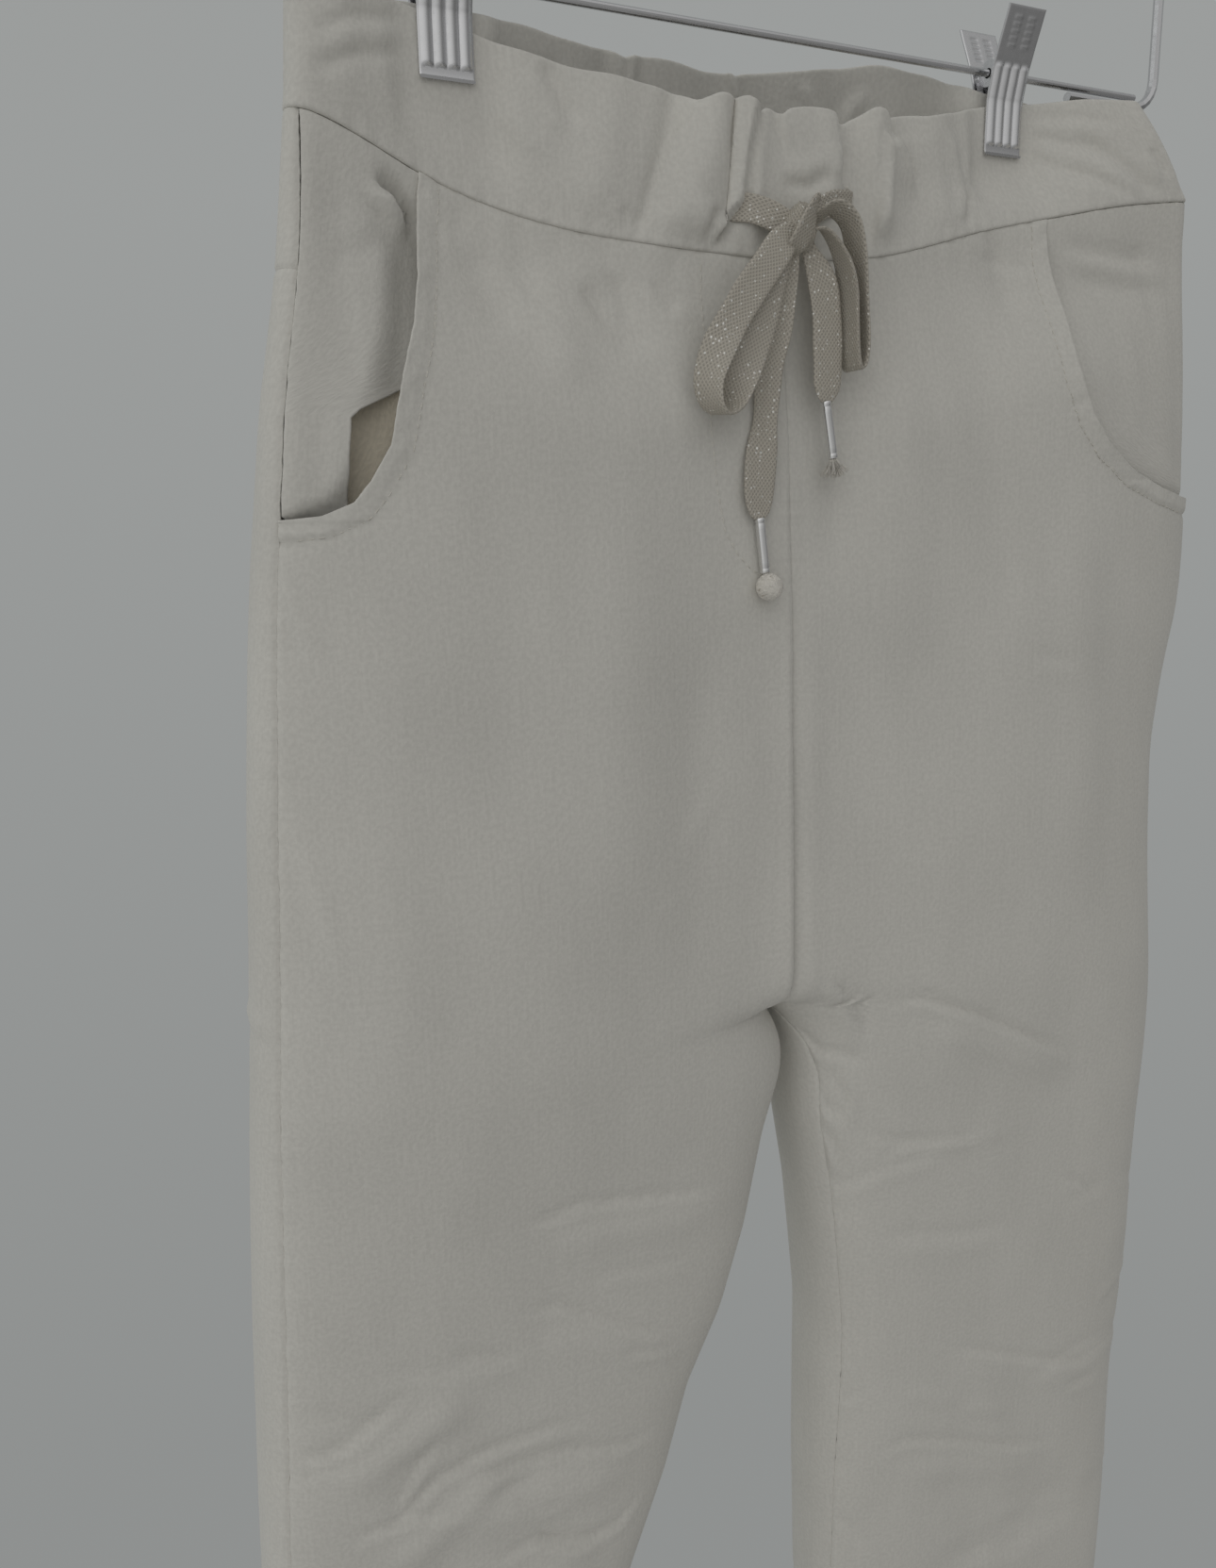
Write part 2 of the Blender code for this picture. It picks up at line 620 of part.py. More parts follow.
def band_line(face, t):
    """The waistband's outer face at a share t of the way down it, at many even places along it."""
    left = column(BAND, BAND_COLUMNS, "x")[0]
    right = column(BAND, BAND_COLUMNS, "x")[-1]
    share = 0.5 - 0.5 * np.cos(math.pi * np.linspace(0.0, 1.0, BAND_SAMPLES))
    place = left + (right - left) * share
    reach_left = BAND_TOP_LEFT + (left - BAND_TOP_LEFT) * t
    reach_right = BAND_TOP_RIGHT + (right - BAND_TOP_RIGHT) * t
    drawn_right = BAND_HELD + (place - BAND_HELD) * (reach_right - BAND_HELD) / (right - BAND_HELD)
    drawn_left = -BAND_HELD + (place + BAND_HELD) * (reach_left + BAND_HELD) / (left + BAND_HELD)
    x = np.where(place > BAND_HELD, drawn_right, np.where(place < -BAND_HELD, drawn_left, place))
    top = read(BAND, BAND_COLUMNS, face + "_top", place, EDGE_REACH)
    seam = seam_line(face, place) - SEAM_TRIM
    top_out = read(BAND, BAND_COLUMNS, face + "_top_out", place, EDGE_REACH)
    seam_out = read(BAND, BAND_COLUMNS, face + "_seam_out", place, EDGE_REACH)
    pinch = np.exp(-(((np.abs(place) - CLIP_AT / MM) / PINCH_HALF_WIDTH) ** 6))
    belly = BAND_BELLY * math.sin(math.pi * t) * (1.0 - pinch)
    out = top_out + (seam_out - top_out) * t + belly
    held = pinch * (1.0 - ease((t - PINCH_HELD_TO) / PINCH_FADE))
    out = out * (1.0 - held) + BAND_PINCHED * held
    gathers = FRONT_GATHERS if face == "front" else BACK_GATHERS
    round_off = closing(x, np.where(x > 0.0, reach_right, -reach_left), 8.0)
    out = (out + gather_height(gathers, x, t) * (1.0 - pinch)) * round_off
    lean = np.where(x > 0.0, side_out("right", 40.0) * ease((x - BAND_HELD) / 70.0), 0.0)
    forward = out - lean if face == "front" else -out - lean
    line = np.stack([x, forward, top + (seam - top) * t], axis=1)
    sign = 1.0 if face == "front" else -1.0
    run = np.gradient(line[:, :2], axis=0)
    run[0] = (0.0, sign)
    run[-1] = (0.0, -sign)
    run /= np.linalg.norm(run, axis=1)[:, None]
    inward = sign * np.stack([run[:, 1], -run[:, 0]], axis=1)
    return np.concatenate([line, inward], axis=1)


def waistband(face, surface, collection):
    """The front or back half of the elastic waistband, an open strip folded round at the sides."""
    middle = band_line(face, 0.5)
    steps = np.linalg.norm(np.diff(middle[:, :3], axis=0), axis=1)
    length = np.concatenate([[0.0], np.cumsum(steps)])
    even = np.linspace(SEAM_TRIM, length[-1] - SEAM_TRIM, BAND_PLACES + 1)
    picked = np.interp(even, length, np.arange(len(length)))
    rows = []
    for t in np.linspace(0.0, 1.0, BAND_ROWS + 1):
        line = band_line(face, t)
        rows.append(np.stack([np.interp(picked, np.arange(len(line)), values) for values in line.T], axis=1))
    return sheet_object("waistband_" + face, rows, BAND_WALL, face == "back", surface, collection)


def smooth_route(points, step):
    """Points every step along a smooth curve through a route's rows, whatever columns they hold."""
    rows = np.array(points, float)
    padded = np.vstack([2 * rows[0] - rows[1], rows, 2 * rows[-1] - rows[-2]])
    fine = []
    for index in range(1, len(padded) - 2):
        before, here, after, beyond = padded[index - 1 : index + 3]
        for t in np.linspace(0.0, 1.0, 16, endpoint=False):
            fine.append(
                0.5 * (2 * here + (after - before) * t
                       + (2 * before - 5 * here + 4 * after - beyond) * t**2
                       + (3 * here - before - 3 * after + beyond) * t**3)
            )
    fine.append(rows[-1])
    fine = np.array(fine)
    length = np.concatenate([[0.0], np.cumsum(np.linalg.norm(np.diff(fine[:, :3], axis=0), axis=1))])
    count = max(3, int(round(length[-1] / step)) + 1)
    places = np.linspace(0.0, length[-1], count)
    return np.stack([np.interp(places, length, fine[:, axis]) for axis in range(fine.shape[1])], axis=1)


def tape_object(name, route, surface, collection):
    """A flat tape lofted along its route. Its turn says how far its face is turned about its run."""
    rows = smooth_route(route, 4.0)
    centres = np.array([tuple(point) for point in to_world(rows[:, :3])])
    runs = np.gradient(centres, axis=0)
    built = bmesh.new()
    rings = []
    for centre, run, turn, width in zip(centres, runs, rows[:, 3], rows[:, 4]):
        ahead = Vector(run).normalized()
        face = Vector((0.0, -1.0, 0.0))
        face = (face - face.dot(ahead) * ahead).normalized()
        face = Matrix.Rotation(math.radians(turn), 3, ahead) @ face
        across = ahead.cross(face).normalized() * (0.5 * width * MM)
        lift = face * (0.5 * TAPE_WALL * MM)
        centre = Vector(centre)
        corners = (centre - across - 0.5 * lift, centre - lift, centre + across - 0.5 * lift)
        corners += (centre + across + 0.5 * lift, centre + lift, centre - across + 0.5 * lift)
        rings.append([built.verts.new(corner) for corner in corners])
    for near, far in zip(rings, rings[1:]):
        for index in range(6):
            after = (index + 1) % 6
            built.faces.new((near[index], near[after], far[after], far[index]))
    built.faces.new(rings[0][::-1])
    built.faces.new(rings[-1])
    bmesh.ops.recalc_face_normals(built, faces=built.faces)
    mesh = bpy.data.meshes.new(name)
    built.to_mesh(mesh)
    built.free()
    mesh.materials.append(surface)
    placed = bpy.data.objects.new(name, mesh)
    collection.objects.link(placed)
    return placed


# The drawstring's stretches: x, out, drop, turn in degrees and width
STRAP_LEFT = (
    (-25, 22.4, 65, 0, 9.5), (-17, 23.7, 65.5, 2, 10), (-9.5, 25.6, 67.5, 6, 10), (-4.2, 27.2, 69.8, 10, 9),
)
STRAP_RIGHT = (
    (29.5, 21.4, 60, 0, 9), (21, 23.2, 61, -3, 9), (14.5, 25, 63.5, -6, 8), (9.0, 27, 66.8, -8, 7),
)
LOOP_LEFT = (
    (-4.2, 32.2, 74.6, 14, 8.5), (-9, 34.4, 78.8, 12, 11), (-15, 36.2, 85.5, 8, 12), (-24, 38, 95.5, 6, 12),
    (-32, 39, 106, 10, 12), (-38, 39.2, 116, 30, 12), (-41.5, 39.2, 125.5, 55, 12), (-40.3, 39, 133, 78, 12),
    (-36, 38.6, 136.4, 95, 12), (-31.6, 38.1, 133, 118, 12), (-27.6, 37.2, 125, 148, 12),
    (-22.3, 36, 115.5, 168, 12), (-17.3, 34.9, 105, 176, 12), (-13, 34, 95, 178, 10.5),
    (-9, 33, 86.8, 180, 8.5), (-5.6, 31.9, 80.4, 180, 6),
)
LOOP_RIGHT = (
    (7.8, 32.6, 68.0, 50, 7), (12.6, 35.2, 65.8, 70, 9.5), (18.6, 35.8, 70, 82, 11), (21.6, 35.5, 78, 88, 12),
    (23.4, 35.2, 88, 90, 12), (24.6, 35, 100, 90, 12), (25.3, 35, 111, 90, 12), (24.4, 35, 118, 90, 12),
    (22, 35, 119.6, 90, 12), (20.6, 35, 113, 90, 12), (20.2, 35, 103, 90, 12), (19.4, 35, 93, 90, 12),
    (17.2, 35, 84.5, 88, 11), (13.4, 34.5, 77.5, 84, 9), (9.4, 33.8, 73.2, 80, 7),
)
TAIL_LEFT = (
    (-2.0, 29.2, 80.0, 30, 7), (-4.2, 29.4, 92, 34, 9), (-7, 29.6, 106, 30, 10), (-11, 30.0, 120, 30, 10),
    (-13, 30.6, 137, 34, 9), (-15, 31.0, 151, 14, 12), (-16, 31.2, 163, 4, 12.5), (-16, 31.4, 170, 0, 9),
    (-15.8, 31.5, 172.6, 0, 4.0),
)
TAIL_RIGHT = (
    (6.0, 29.7, 79.7, 20, 6), (10, 32.0, 90, 12, 11), (11.8, 32.8, 103, 6, 12), (12.2, 33.2, 116, 4, 12),
    (12, 33.4, 125, 4, 11.5), (11.6, 33.4, 129.5, 0, 8), (11.3, 33.4, 131.3, 0, 4.0),
)
KNOT_CENTRE = (2.4, 29.1, 71.8)
KNOT_HALF_SIZES = (6.2, 5.8, 8.2)
TIP_LEFT = ((-15.8, 31.5, 173.2), (-13.6, 32.0, 192.4))
TIP_RIGHT = ((11.3, 33.4, 132.0), (14.9, 33.6, 151.4))
BALL_CENTRE = (-13.1, 34.8, 197.6)
BALL_RADIUS = 0.0050
TUFT_LENGTH = 0.0075
TUFT_ROOT = 0.0016
TUFT_SPREAD = 0.0044


def ball_object(name, centre, half_sizes, surface, collection):
    """A rounded lump with given half sizes, in table millimetres."""
    middle = to_world([centre])[0]
    bpy.ops.mesh.primitive_uv_sphere_add(segments=14, ring_count=9, radius=1.0, location=middle)
    placed = bpy.context.object
    placed.name = name
    placed.data.name = name
    placed.data.transform(Matrix.Diagonal((half_sizes[0] * MM, half_sizes[1] * MM, half_sizes[2] * MM, 1.0)))
    placed.data.shade_smooth()
    placed.data.materials.append(surface)
    for home in list(placed.users_collection):
        home.objects.unlink(placed)
    collection.objects.link(placed)
    return placed


def rod_between(name, start, end, radius, surface, collection, end_radius=None):
    """A round bar, or a cone, between two points."""
    run = end - start
    built = bmesh.new()
    last = radius if end_radius is None else end_radius
    bmesh.ops.create_cone(built, cap_ends=True, segments=14, radius1=radius, radius2=last, depth=run.length)
    mesh = bpy.data.meshes.new(name)
    built.to_mesh(mesh)
    built.free()
    turn = Vector((0.0, 0.0, 1.0)).rotation_difference(run.normalized()).to_matrix().to_4x4()
    mesh.transform(turn)
    mesh.materials.append(surface)
    mesh.shade_smooth()
    mesh.set_sharp_from_angle(angle=math.radians(40.0))
    placed = bpy.data.objects.new(name, mesh)
    placed.location = (start + end) / 2.0
    collection.objects.link(placed)
    return placed


def wire_object(name, points, radius, surface, collection, resolution=2):
    """A round wire along points."""
    curve = bpy.data.curves.new(name, "CURVE")
    curve.dimensions = "3D"
    curve.bevel_depth = radius
    curve.bevel_resolution = resolution
    curve.use_fill_caps = True
    line = curve.splines.new("POLY")
    line.points.add(len(points) - 1)
    for slot, point in zip(line.points, points):
        slot.co = (point[0], point[1], point[2], 1.0)
    curve.materials.append(surface)
    placed = bpy.data.objects.new(name, curve)
    collection.objects.link(placed)
    return placed


def arc(centre, radius, start, end, count):
    """Points of an arc in the X-Z plane, in degrees from +X towards +Z."""
    turns = [math.radians(start + (end - start) * index / (count - 1)) for index in range(count)]
    return [Vector((centre[0] + radius * math.cos(t), 0.0, centre[1] + radius * math.sin(t))) for t in turns]


def frame_wire(side, surface, collection):
    """One half of the wire frame: the stub under the rod, the upright and the sloping shoulder."""
    sign = -1.0 if side == "left" else 1.0
    stub_z = -ROD_DROP - ROD_RADIUS - FRAME_RADIUS - 0.00035
    corner = (FRAME_HALF_WIDTH - FRAME_CORNER, stub_z + FRAME_CORNER)
    points = [Vector((STUB_END, 0.0, stub_z)), Vector((0.5 * (STUB_END + corner[0]), 0.0, stub_z))]
    points += arc(corner, FRAME_CORNER, -90.0, 0.0, 7)
    top_z = stub_z + FRAME_SIDE_HEIGHT
    neck = Vector((NECK_RADIUS + NECK_CLEARANCE, 0.0, NECK_TOP - 0.55 * NECK_HEIGHT))
    slope = math.atan2(neck.z - (top_z + 0.010), FRAME_HALF_WIDTH - neck.x)
    centre = (FRAME_HALF_WIDTH - FRAME_SHOULDER, top_z)
    points += arc(centre, FRAME_SHOULDER, 0.0, 90.0 - math.degrees(slope), 8)
    points += [points[-1].lerp(neck, share) for share in (0.33, 0.67, 1.0)]
    for point in points:
        point.x *= sign
    return wire_object("hanger_frame_" + side, points, FRAME_RADIUS, surface, collection)


def hook(surface, collection):
    """The hook over the neck. The inside of its top is the part's origin."""
    centre_z = FRAME_RADIUS - HOOK_RADIUS
    start = Vector((0.0, 0.0, NECK_TOP + SEAM_GAP))
    points = [start, start + Vector((0.0, 0.0, 0.004))]
    points += [Vector((0.0055, 0.0, -0.0505)), Vector((0.0130, 0.0, -0.0435))]
    points += arc((0.0, centre_z), HOOK_RADIUS, -38.0, 205.0, 22)
    return wire_object("hanger_hook", points, FRAME_RADIUS, surface, collection, 3)


CLIP_PROFILE = (
    (14.0, -20.0), (11.8, -14.5), (9.3, -8.5), (7.3, -3.4), (6.0, 0.0), (4.9, 4.4), (3.8, 9.0),
    (3.25, 13.0), (3.05, 28.5), (4.0, 30.6),
)
CLIP_WINDOW_WIDTH = 0.0100
CLIP_WINDOW_LOW = 9.5
CLIP_WINDOW_HIGH = 17.0


def clip_plate(name, place, forward, surface, collection, cutters):
    """One sprung plate of a clip: jaw below, handle above. The back one has a punched window."""
    built = bmesh.new()
    half = 0.5 * CLIP_WIDTH
    line = [(-out * MM * forward, -ROD_DROP - drop * MM) for out, drop in CLIP_PROFILE]
    left = [built.verts.new((place - half, y, z)) for y, z in line]
    right = [built.verts.new((place + half, y, z)) for y, z in line]
    for index in range(len(line) - 1):
        corners = (left[index], left[index + 1], right[index + 1], right[index])
        built.faces.new(corners if forward > 0 else corners[::-1])
    mesh = bpy.data.meshes.new(name)
    built.to_mesh(mesh)
    built.free()
    mesh.materials.append(surface)
    placed = bpy.data.objects.new(name, mesh)
    collection.objects.link(placed)
    thick = placed.modifiers.new("Sheet", "SOLIDIFY")
    thick.thickness = CLIP_SHEET
    thick.offset = 0.0
    thick.use_even_offset = True
    if forward < 0:
        low = -ROD_DROP + CLIP_WINDOW_LOW * MM
        high = -ROD_DROP + CLIP_WINDOW_HIGH * MM
        bpy.ops.mesh.primitive_cube_add(size=1.0, location=(place, 0.0, 0.5 * (low + high)))
        cutter = bpy.context.object
        cutter.name = name + "_window"
        cutter.data.transform(Matrix.Diagonal((CLIP_WINDOW_WIDTH, 0.08, high - low, 1.0)))
        cutter.hide_render = True
        cutter.display_type = "WIRE"
        for home in list(cutter.users_collection):
            home.objects.unlink(cutter)
        cutters.objects.link(cutter)
        window = placed.modifiers.new("Window", "BOOLEAN")
        window.operation = "DIFFERENCE"
        window.object = cutter
    return placed


def clip_spring(name, place, surface, collection):
    """The rolled spring round the rod, between the plates, turned from a small rectangle."""
    half = 0.5 * SPRING_WIDTH
    mesh = bpy.data.meshes.new(name)
    corners = [(SPRING_BORE, half), (SPRING_BORE, -half), (SPRING_RADIUS, -half), (SPRING_RADIUS, half)]
    mesh.from_pydata([(x, 0.0, z) for x, z in corners], [(0, 1), (1, 2), (2, 3), (3, 0)], [])
    mesh.materials.append(surface)
    placed = bpy.data.objects.new(name, mesh)
    placed.location = (place, 0.0, -ROD_DROP)
    placed.rotation_euler = (0.0, math.pi / 2.0, 0.0)
    collection.objects.link(placed)
    turn = placed.modifiers.new("Turn", "SCREW")
    turn.steps = 16
    turn.render_steps = 16
    turn.use_merge_vertices = True
    turn.merge_threshold = 0.00005
    turn.use_normal_calculate = True
    turn.use_normal_flip = True
    return placed


def build_hanger(metal, collection, cutters):
    """The wire frame with its hook, the rod and the two clips."""
    corner_x = FRAME_HALF_WIDTH - FRAME_CORNER
    reach = corner_x + 0.0008
    rod_left = Vector((-reach, 0.0, -ROD_DROP))
    rod_right = Vector((reach, 0.0, -ROD_DROP))
    rod_between("hanger_rod", rod_left, rod_right, ROD_RADIUS, metal, collection)
    frame_wire("left", metal, collection)
    frame_wire("right", metal, collection)
    neck_foot = Vector((0.0, 0.0, NECK_TOP - NECK_HEIGHT))
    rod_between("hanger_neck", neck_foot, Vector((0.0, 0.0, NECK_TOP)), NECK_RADIUS, metal, collection)
    hook(metal, collection)
    for side, place in (("left", -CLIP_AT), ("right", CLIP_AT)):
        clip_plate("clip_front_" + side, place, 1.0, metal, collection, cutters)
        clip_plate("clip_back_" + side, place, -1.0, metal, collection, cutters)
        clip_spring("clip_spring_" + side, place, metal, collection)


def build_garment(cloth, facing, collection):
    """The cut and sewn pieces."""
    waistband("front", cloth, collection)
    waistband("back", cloth, collection)
    for side in ("left", "right"):
        front_panel(side, cloth, collection)
        back_panel(side, cloth, collection)
        yoke(side, cloth, collection)
        pocket_facing(side, cloth, collection)
        pocket_bag(side, facing, collection)


def build_drawstring(tape, metal, thread, collection):
    """The flat braided drawstring tied in a bow, its metal tips and what ends them."""
    tape_object("drawstring_strap_left", STRAP_LEFT, tape, collection)
    tape_object("drawstring_strap_right", STRAP_RIGHT, tape, collection)
    ball_object("drawstring_knot", KNOT_CENTRE, KNOT_HALF_SIZES, tape, collection)
    tape_object("drawstring_loop_left", LOOP_LEFT, tape, collection)
    tape_object("drawstring_loop_right", LOOP_RIGHT, tape, collection)
    tape_object("drawstring_tail_left", TAIL_LEFT, tape, collection)
    tape_object("drawstring_tail_right", TAIL_RIGHT, tape, collection)
    tip_left = to_world(TIP_LEFT)
    tip_right = to_world(TIP_RIGHT)
    rod_between("tip_left", tip_left[0], tip_left[1], TIP_RADIUS, metal, collection)
    rod_between("tip_right", tip_right[0], tip_right[1], TIP_RADIUS, metal, collection)
    radius = BALL_RADIUS / MM
    ball_object("tip_ball", BALL_CENTRE, (radius, radius, radius), thread, collection)
    ahead = (tip_right[1] - tip_right[0]).normalized()
    root = tip_right[1] + ahead * SEAM_GAP
    rod_between("tip_tuft", root, root + ahead * TUFT_LENGTH, TUFT_ROOT, thread, collection, TUFT_SPREAD)


def main():
    clear_scene()
    collection = new_collection("joggers_on_hanger")
    cutters = new_collection("cutters")
    cloth = material("stretch_cotton", CLOTH_COLOUR, 0.9)
    facing = material("pocket_cotton", FACING_COLOUR, 0.9)
    tape = material("braided_tape", TAPE_COLOUR, 0.75)
    metal = material("chrome_wire", METAL_COLOUR, 0.2, 1.0)
    thread = material("cotton_thread", THREAD_COLOUR, 0.95)
    build_hanger(metal, collection, cutters)
    build_garment(cloth, facing, collection)
    build_drawstring(tape, metal, thread, collection)


main()
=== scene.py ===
import math
import random

import bpy
import numpy as np
from mathutils import Matrix, Vector
from mathutils.bvhtree import BVHTree


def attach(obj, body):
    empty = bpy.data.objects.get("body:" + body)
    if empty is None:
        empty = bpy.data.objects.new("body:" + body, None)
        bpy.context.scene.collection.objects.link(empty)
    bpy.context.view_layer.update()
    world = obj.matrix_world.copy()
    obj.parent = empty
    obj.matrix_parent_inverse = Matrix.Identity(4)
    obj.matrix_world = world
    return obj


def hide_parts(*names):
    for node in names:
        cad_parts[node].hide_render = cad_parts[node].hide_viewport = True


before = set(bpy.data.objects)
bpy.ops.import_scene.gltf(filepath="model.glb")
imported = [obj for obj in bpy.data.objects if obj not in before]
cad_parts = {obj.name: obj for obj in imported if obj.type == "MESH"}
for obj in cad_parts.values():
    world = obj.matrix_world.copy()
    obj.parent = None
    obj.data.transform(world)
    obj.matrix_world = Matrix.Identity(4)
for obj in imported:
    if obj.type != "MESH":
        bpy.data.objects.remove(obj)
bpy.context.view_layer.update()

for loaded in list(bpy.context.selected_objects):
    loaded.select_set(False)


# ---------------------------------------------------------------- room
# The trousers hang in a plainly lit room with a pale wall a long way behind: the wall is the world's colour.
# Soft daylight comes from the left, a little from above; the only solid thing is a pale floor below the hems.
WALL = ((0.18, (0.275, 0.284, 0.281, 1.0)), (0.62, (0.330, 0.340, 0.336, 1.0)))
ROOM = (
    (0.0, (0.36, 0.36, 0.355, 1.0)),
    (0.36, (0.33, 0.33, 0.325, 1.0)),
    (0.62, (0.46, 0.46, 0.455, 1.0)),
    (1.0, (0.86, 0.86, 0.855, 1.0)),
)
ROOM_LEFT = 1.60
ROOM_RIGHT = 0.33
FLOOR_SIZE = 1.1
FLOOR_HEIGHT = -1.62
FLOOR_COLOUR = (0.50, 0.50, 0.49, 1.0)
KEY_PLACE = (-2.1, 0.75, 0.45)
KEY_AIM = (0.0, 0.0, -0.6)
KEY_SIZE = 1.2
KEY_WATTS = 4.0

scene = bpy.context.scene
scene.view_settings.view_transform = "Standard"
scene.view_settings.exposure = 0.0


def wire(tree, made, inputs):
    """Set a node's inputs by name. A value that is another node's output is linked."""
    for name, value in inputs.items():
        if isinstance(value, bpy.types.NodeSocket):
            tree.links.new(value, made.inputs[name])
        else:
            made.inputs[name].default_value = value
    return made


def add_node(tree, kind, inputs=None, operation=None):
    """A new shader node with its inputs set."""
    made = tree.nodes.new("ShaderNode" + kind)
    if operation:
        made.operation = operation
    return wire(tree, made, inputs or {})


def colour_ramp(tree, share, stops):
    """The colour at a share of the way through stops of position and colour."""
    ramp = add_node(tree, "ValToRGB", {"Fac": share})
    elements = ramp.color_ramp.elements
    for element, (position, colour) in zip(list(elements), (stops[0], stops[-1])):
        element.position = position
        element.color = colour
    for position, colour in stops[1:-1]:
        elements.new(position).color = colour
    return ramp.outputs["Color"]


def new_material(name):
    """A material, its node tree and its shader."""
    made = bpy.data.materials.new(name)
    made.use_nodes = True
    return made, made.node_tree, made.node_tree.nodes["Principled BSDF"]


room = bpy.data.worlds.new("daylit_room")
room.use_nodes = True
scene.world = room
tree = room.node_tree
towards = add_node(tree, "TexCoord").outputs["Generated"]
way = add_node(tree, "SeparateXYZ", {"Vector": towards}).outputs
height_share = add_node(tree, "MapRange", {"From Min": -1.0, "Value": way["Z"]}).outputs["Result"]
behind = add_node(tree, "MapRange", {"From Min": 0.05, "From Max": -0.35, "Value": way["Y"]})
behind = behind.outputs["Result"]
window_side = {"From Min": -1.0, "To Min": ROOM_LEFT, "To Max": ROOM_RIGHT, "Value": way["X"]}
window_side = add_node(tree, "MapRange", window_side).outputs["Result"]
seen = add_node(tree, "MixRGB", {
    "Color1": colour_ramp(tree, height_share, WALL),
    "Color2": colour_ramp(tree, height_share, ROOM),
    "Fac": behind,
})
strength = add_node(tree, "Mix", {"A": 1.0, "B": window_side, "Factor": behind})
wire(tree, tree.nodes["Background"], {"Color": seen.outputs["Color"], "Strength": strength.outputs["Result"]})

key_data = bpy.data.lights.new("window_light", "AREA")
key_data.size = KEY_SIZE
key_data.energy = KEY_WATTS
key_data.color = (0.97, 0.99, 1.0)
key = bpy.data.objects.new("window_light", key_data)
key.location = KEY_PLACE
key.rotation_euler = (Vector(KEY_AIM) - Vector(KEY_PLACE)).to_track_quat("-Z", "Y").to_euler()
scene.collection.objects.link(key)

bpy.ops.mesh.primitive_grid_add(
    x_subdivisions=2, y_subdivisions=2, size=FLOOR_SIZE, location=(0.0, 0.0, FLOOR_HEIGHT)
)
floor = bpy.context.object
floor.name = "floor"
floor_surface, tree, shader = new_material("pale_floor")
wire(tree, shader, {"Base Color": FLOOR_COLOUR, "Roughness": 0.8})
floor.data.materials.append(floor_surface)
floor.select_set(False)

# The camera stands at the left, a little below the waistband's height, and looks slightly down.
camera_data = bpy.data.cameras.new("camera")
camera_data.sensor_fit = "VERTICAL"
camera_data.sensor_height = 36.0
camera_data.lens = 26.887
camera_data.clip_start = 0.01
camera = bpy.data.objects.new("camera", camera_data)
camera.matrix_world = Matrix((
    (0.90306, 0.11707, -0.41325, -0.25514),
    (-0.42882, 0.19087, -0.88300, -0.40579),
    (-0.02450, 0.97461, 0.22257, -0.37539),
    (0.0, 0.0, 0.0, 1.0),
))
scene.collection.objects.link(camera)
scene.camera = camera


# ---------------------------------------------------------------- front leg panels
# The two front leg panels: a heavy, fine, off-white stretch cotton with small slubs, cut with a curved pocket
# opening, sewn at the centre, the side, the inside leg and the waist, and turned up 25 mm at the hem.
# The tables are in millimetres: "out" is forward of the hanger's rod, "drop" below it, x from the centre.
MM = 0.001
ROD_DROP = 205.0
CLOTH_WALL = 1.2
HEM_DROP = 1040.0
HEM_BAND = 25.0
HEM_RAISE = 0.7
HEM_ROPED = 18.0
CROTCH_DROP = 372.0
RISE_SPLIT_FROM = 180.0
RISE_SPLIT_POWER = 2.6
RISE_CLOSE_POWER = 16
RIGHT_FOLD_FORWARD = 14.0
RIGHT_FOLD_FORWARD_LOW = 4.0
LEVEL_AT = 190.0
SQUARE_X = 0.5
SQUARE_Y = 0.75
SAMPLES = 360
NORMAL_REACH = 6
CLOSE_ROWS_TO = 664.0
CLOSE_ROW_STEP = 2.6
CLOTH_COLOUR = (0.625, 0.610, 0.565)

BODY_COLUMNS = ("drop", "left_out", "left_in", "right_in", "right_out", "front", "back", "swell")
BODY = (
    (43, 171, 0, 0, 207, 14, 12, 0),
    (92, 178, 0, 0, 212, 24, 24, 1),
    (133, 186, 0, 0, 216, 27, 29, 2),
    (189, 194, 0, 0, 220, 29, 33, 3),
    (215, 197, 0, 0, 219, 30, 34, 4),
    (246, 200, 0, 0, 212, 30, 35, 5),
    (279, 203, 0, 0, 207, 31, 36, 7),
    (322, 206, 0, 0, 208, 32, 36, 8),
    (372, 210, 0, 0, 211, 33, 35, 6),
    (381, 211, -6, 9, 212, 33, 35, 5),
    (392, 212, -10, 14, 213, 33, 34, 4),
    (404, 213, -10, 16, 214, 33, 34, 3),
    (430, 215, -1, 17, 215, 33, 34, 0),
    (472, 218, 8, 24, 216, 32, 33, 0),
    (508, 220, 20, 28, 218, 32, 33, 0),
    (540, 222, 37, 31, 221, 32, 32, 0),
    (580, 224, 49, 31, 222, 31, 32, 0),
    (626, 227, 68, 31, 221, 31, 31, 0),
    (700, 230, 80, 33, 224, 30, 31, 0),
    (800, 231, 86, 44, 224, 28, 29, 0),
    (920, 229, 89, 62, 222, 26, 27, 0),
    (1040, 226, 91, 77, 220, 24, 25, 0),
)
BAND_COLUMNS = (
    "x", "front_top", "front_seam", "front_top_out", "front_seam_out",
    "back_top", "back_seam", "back_top_out", "back_seam_out",
)
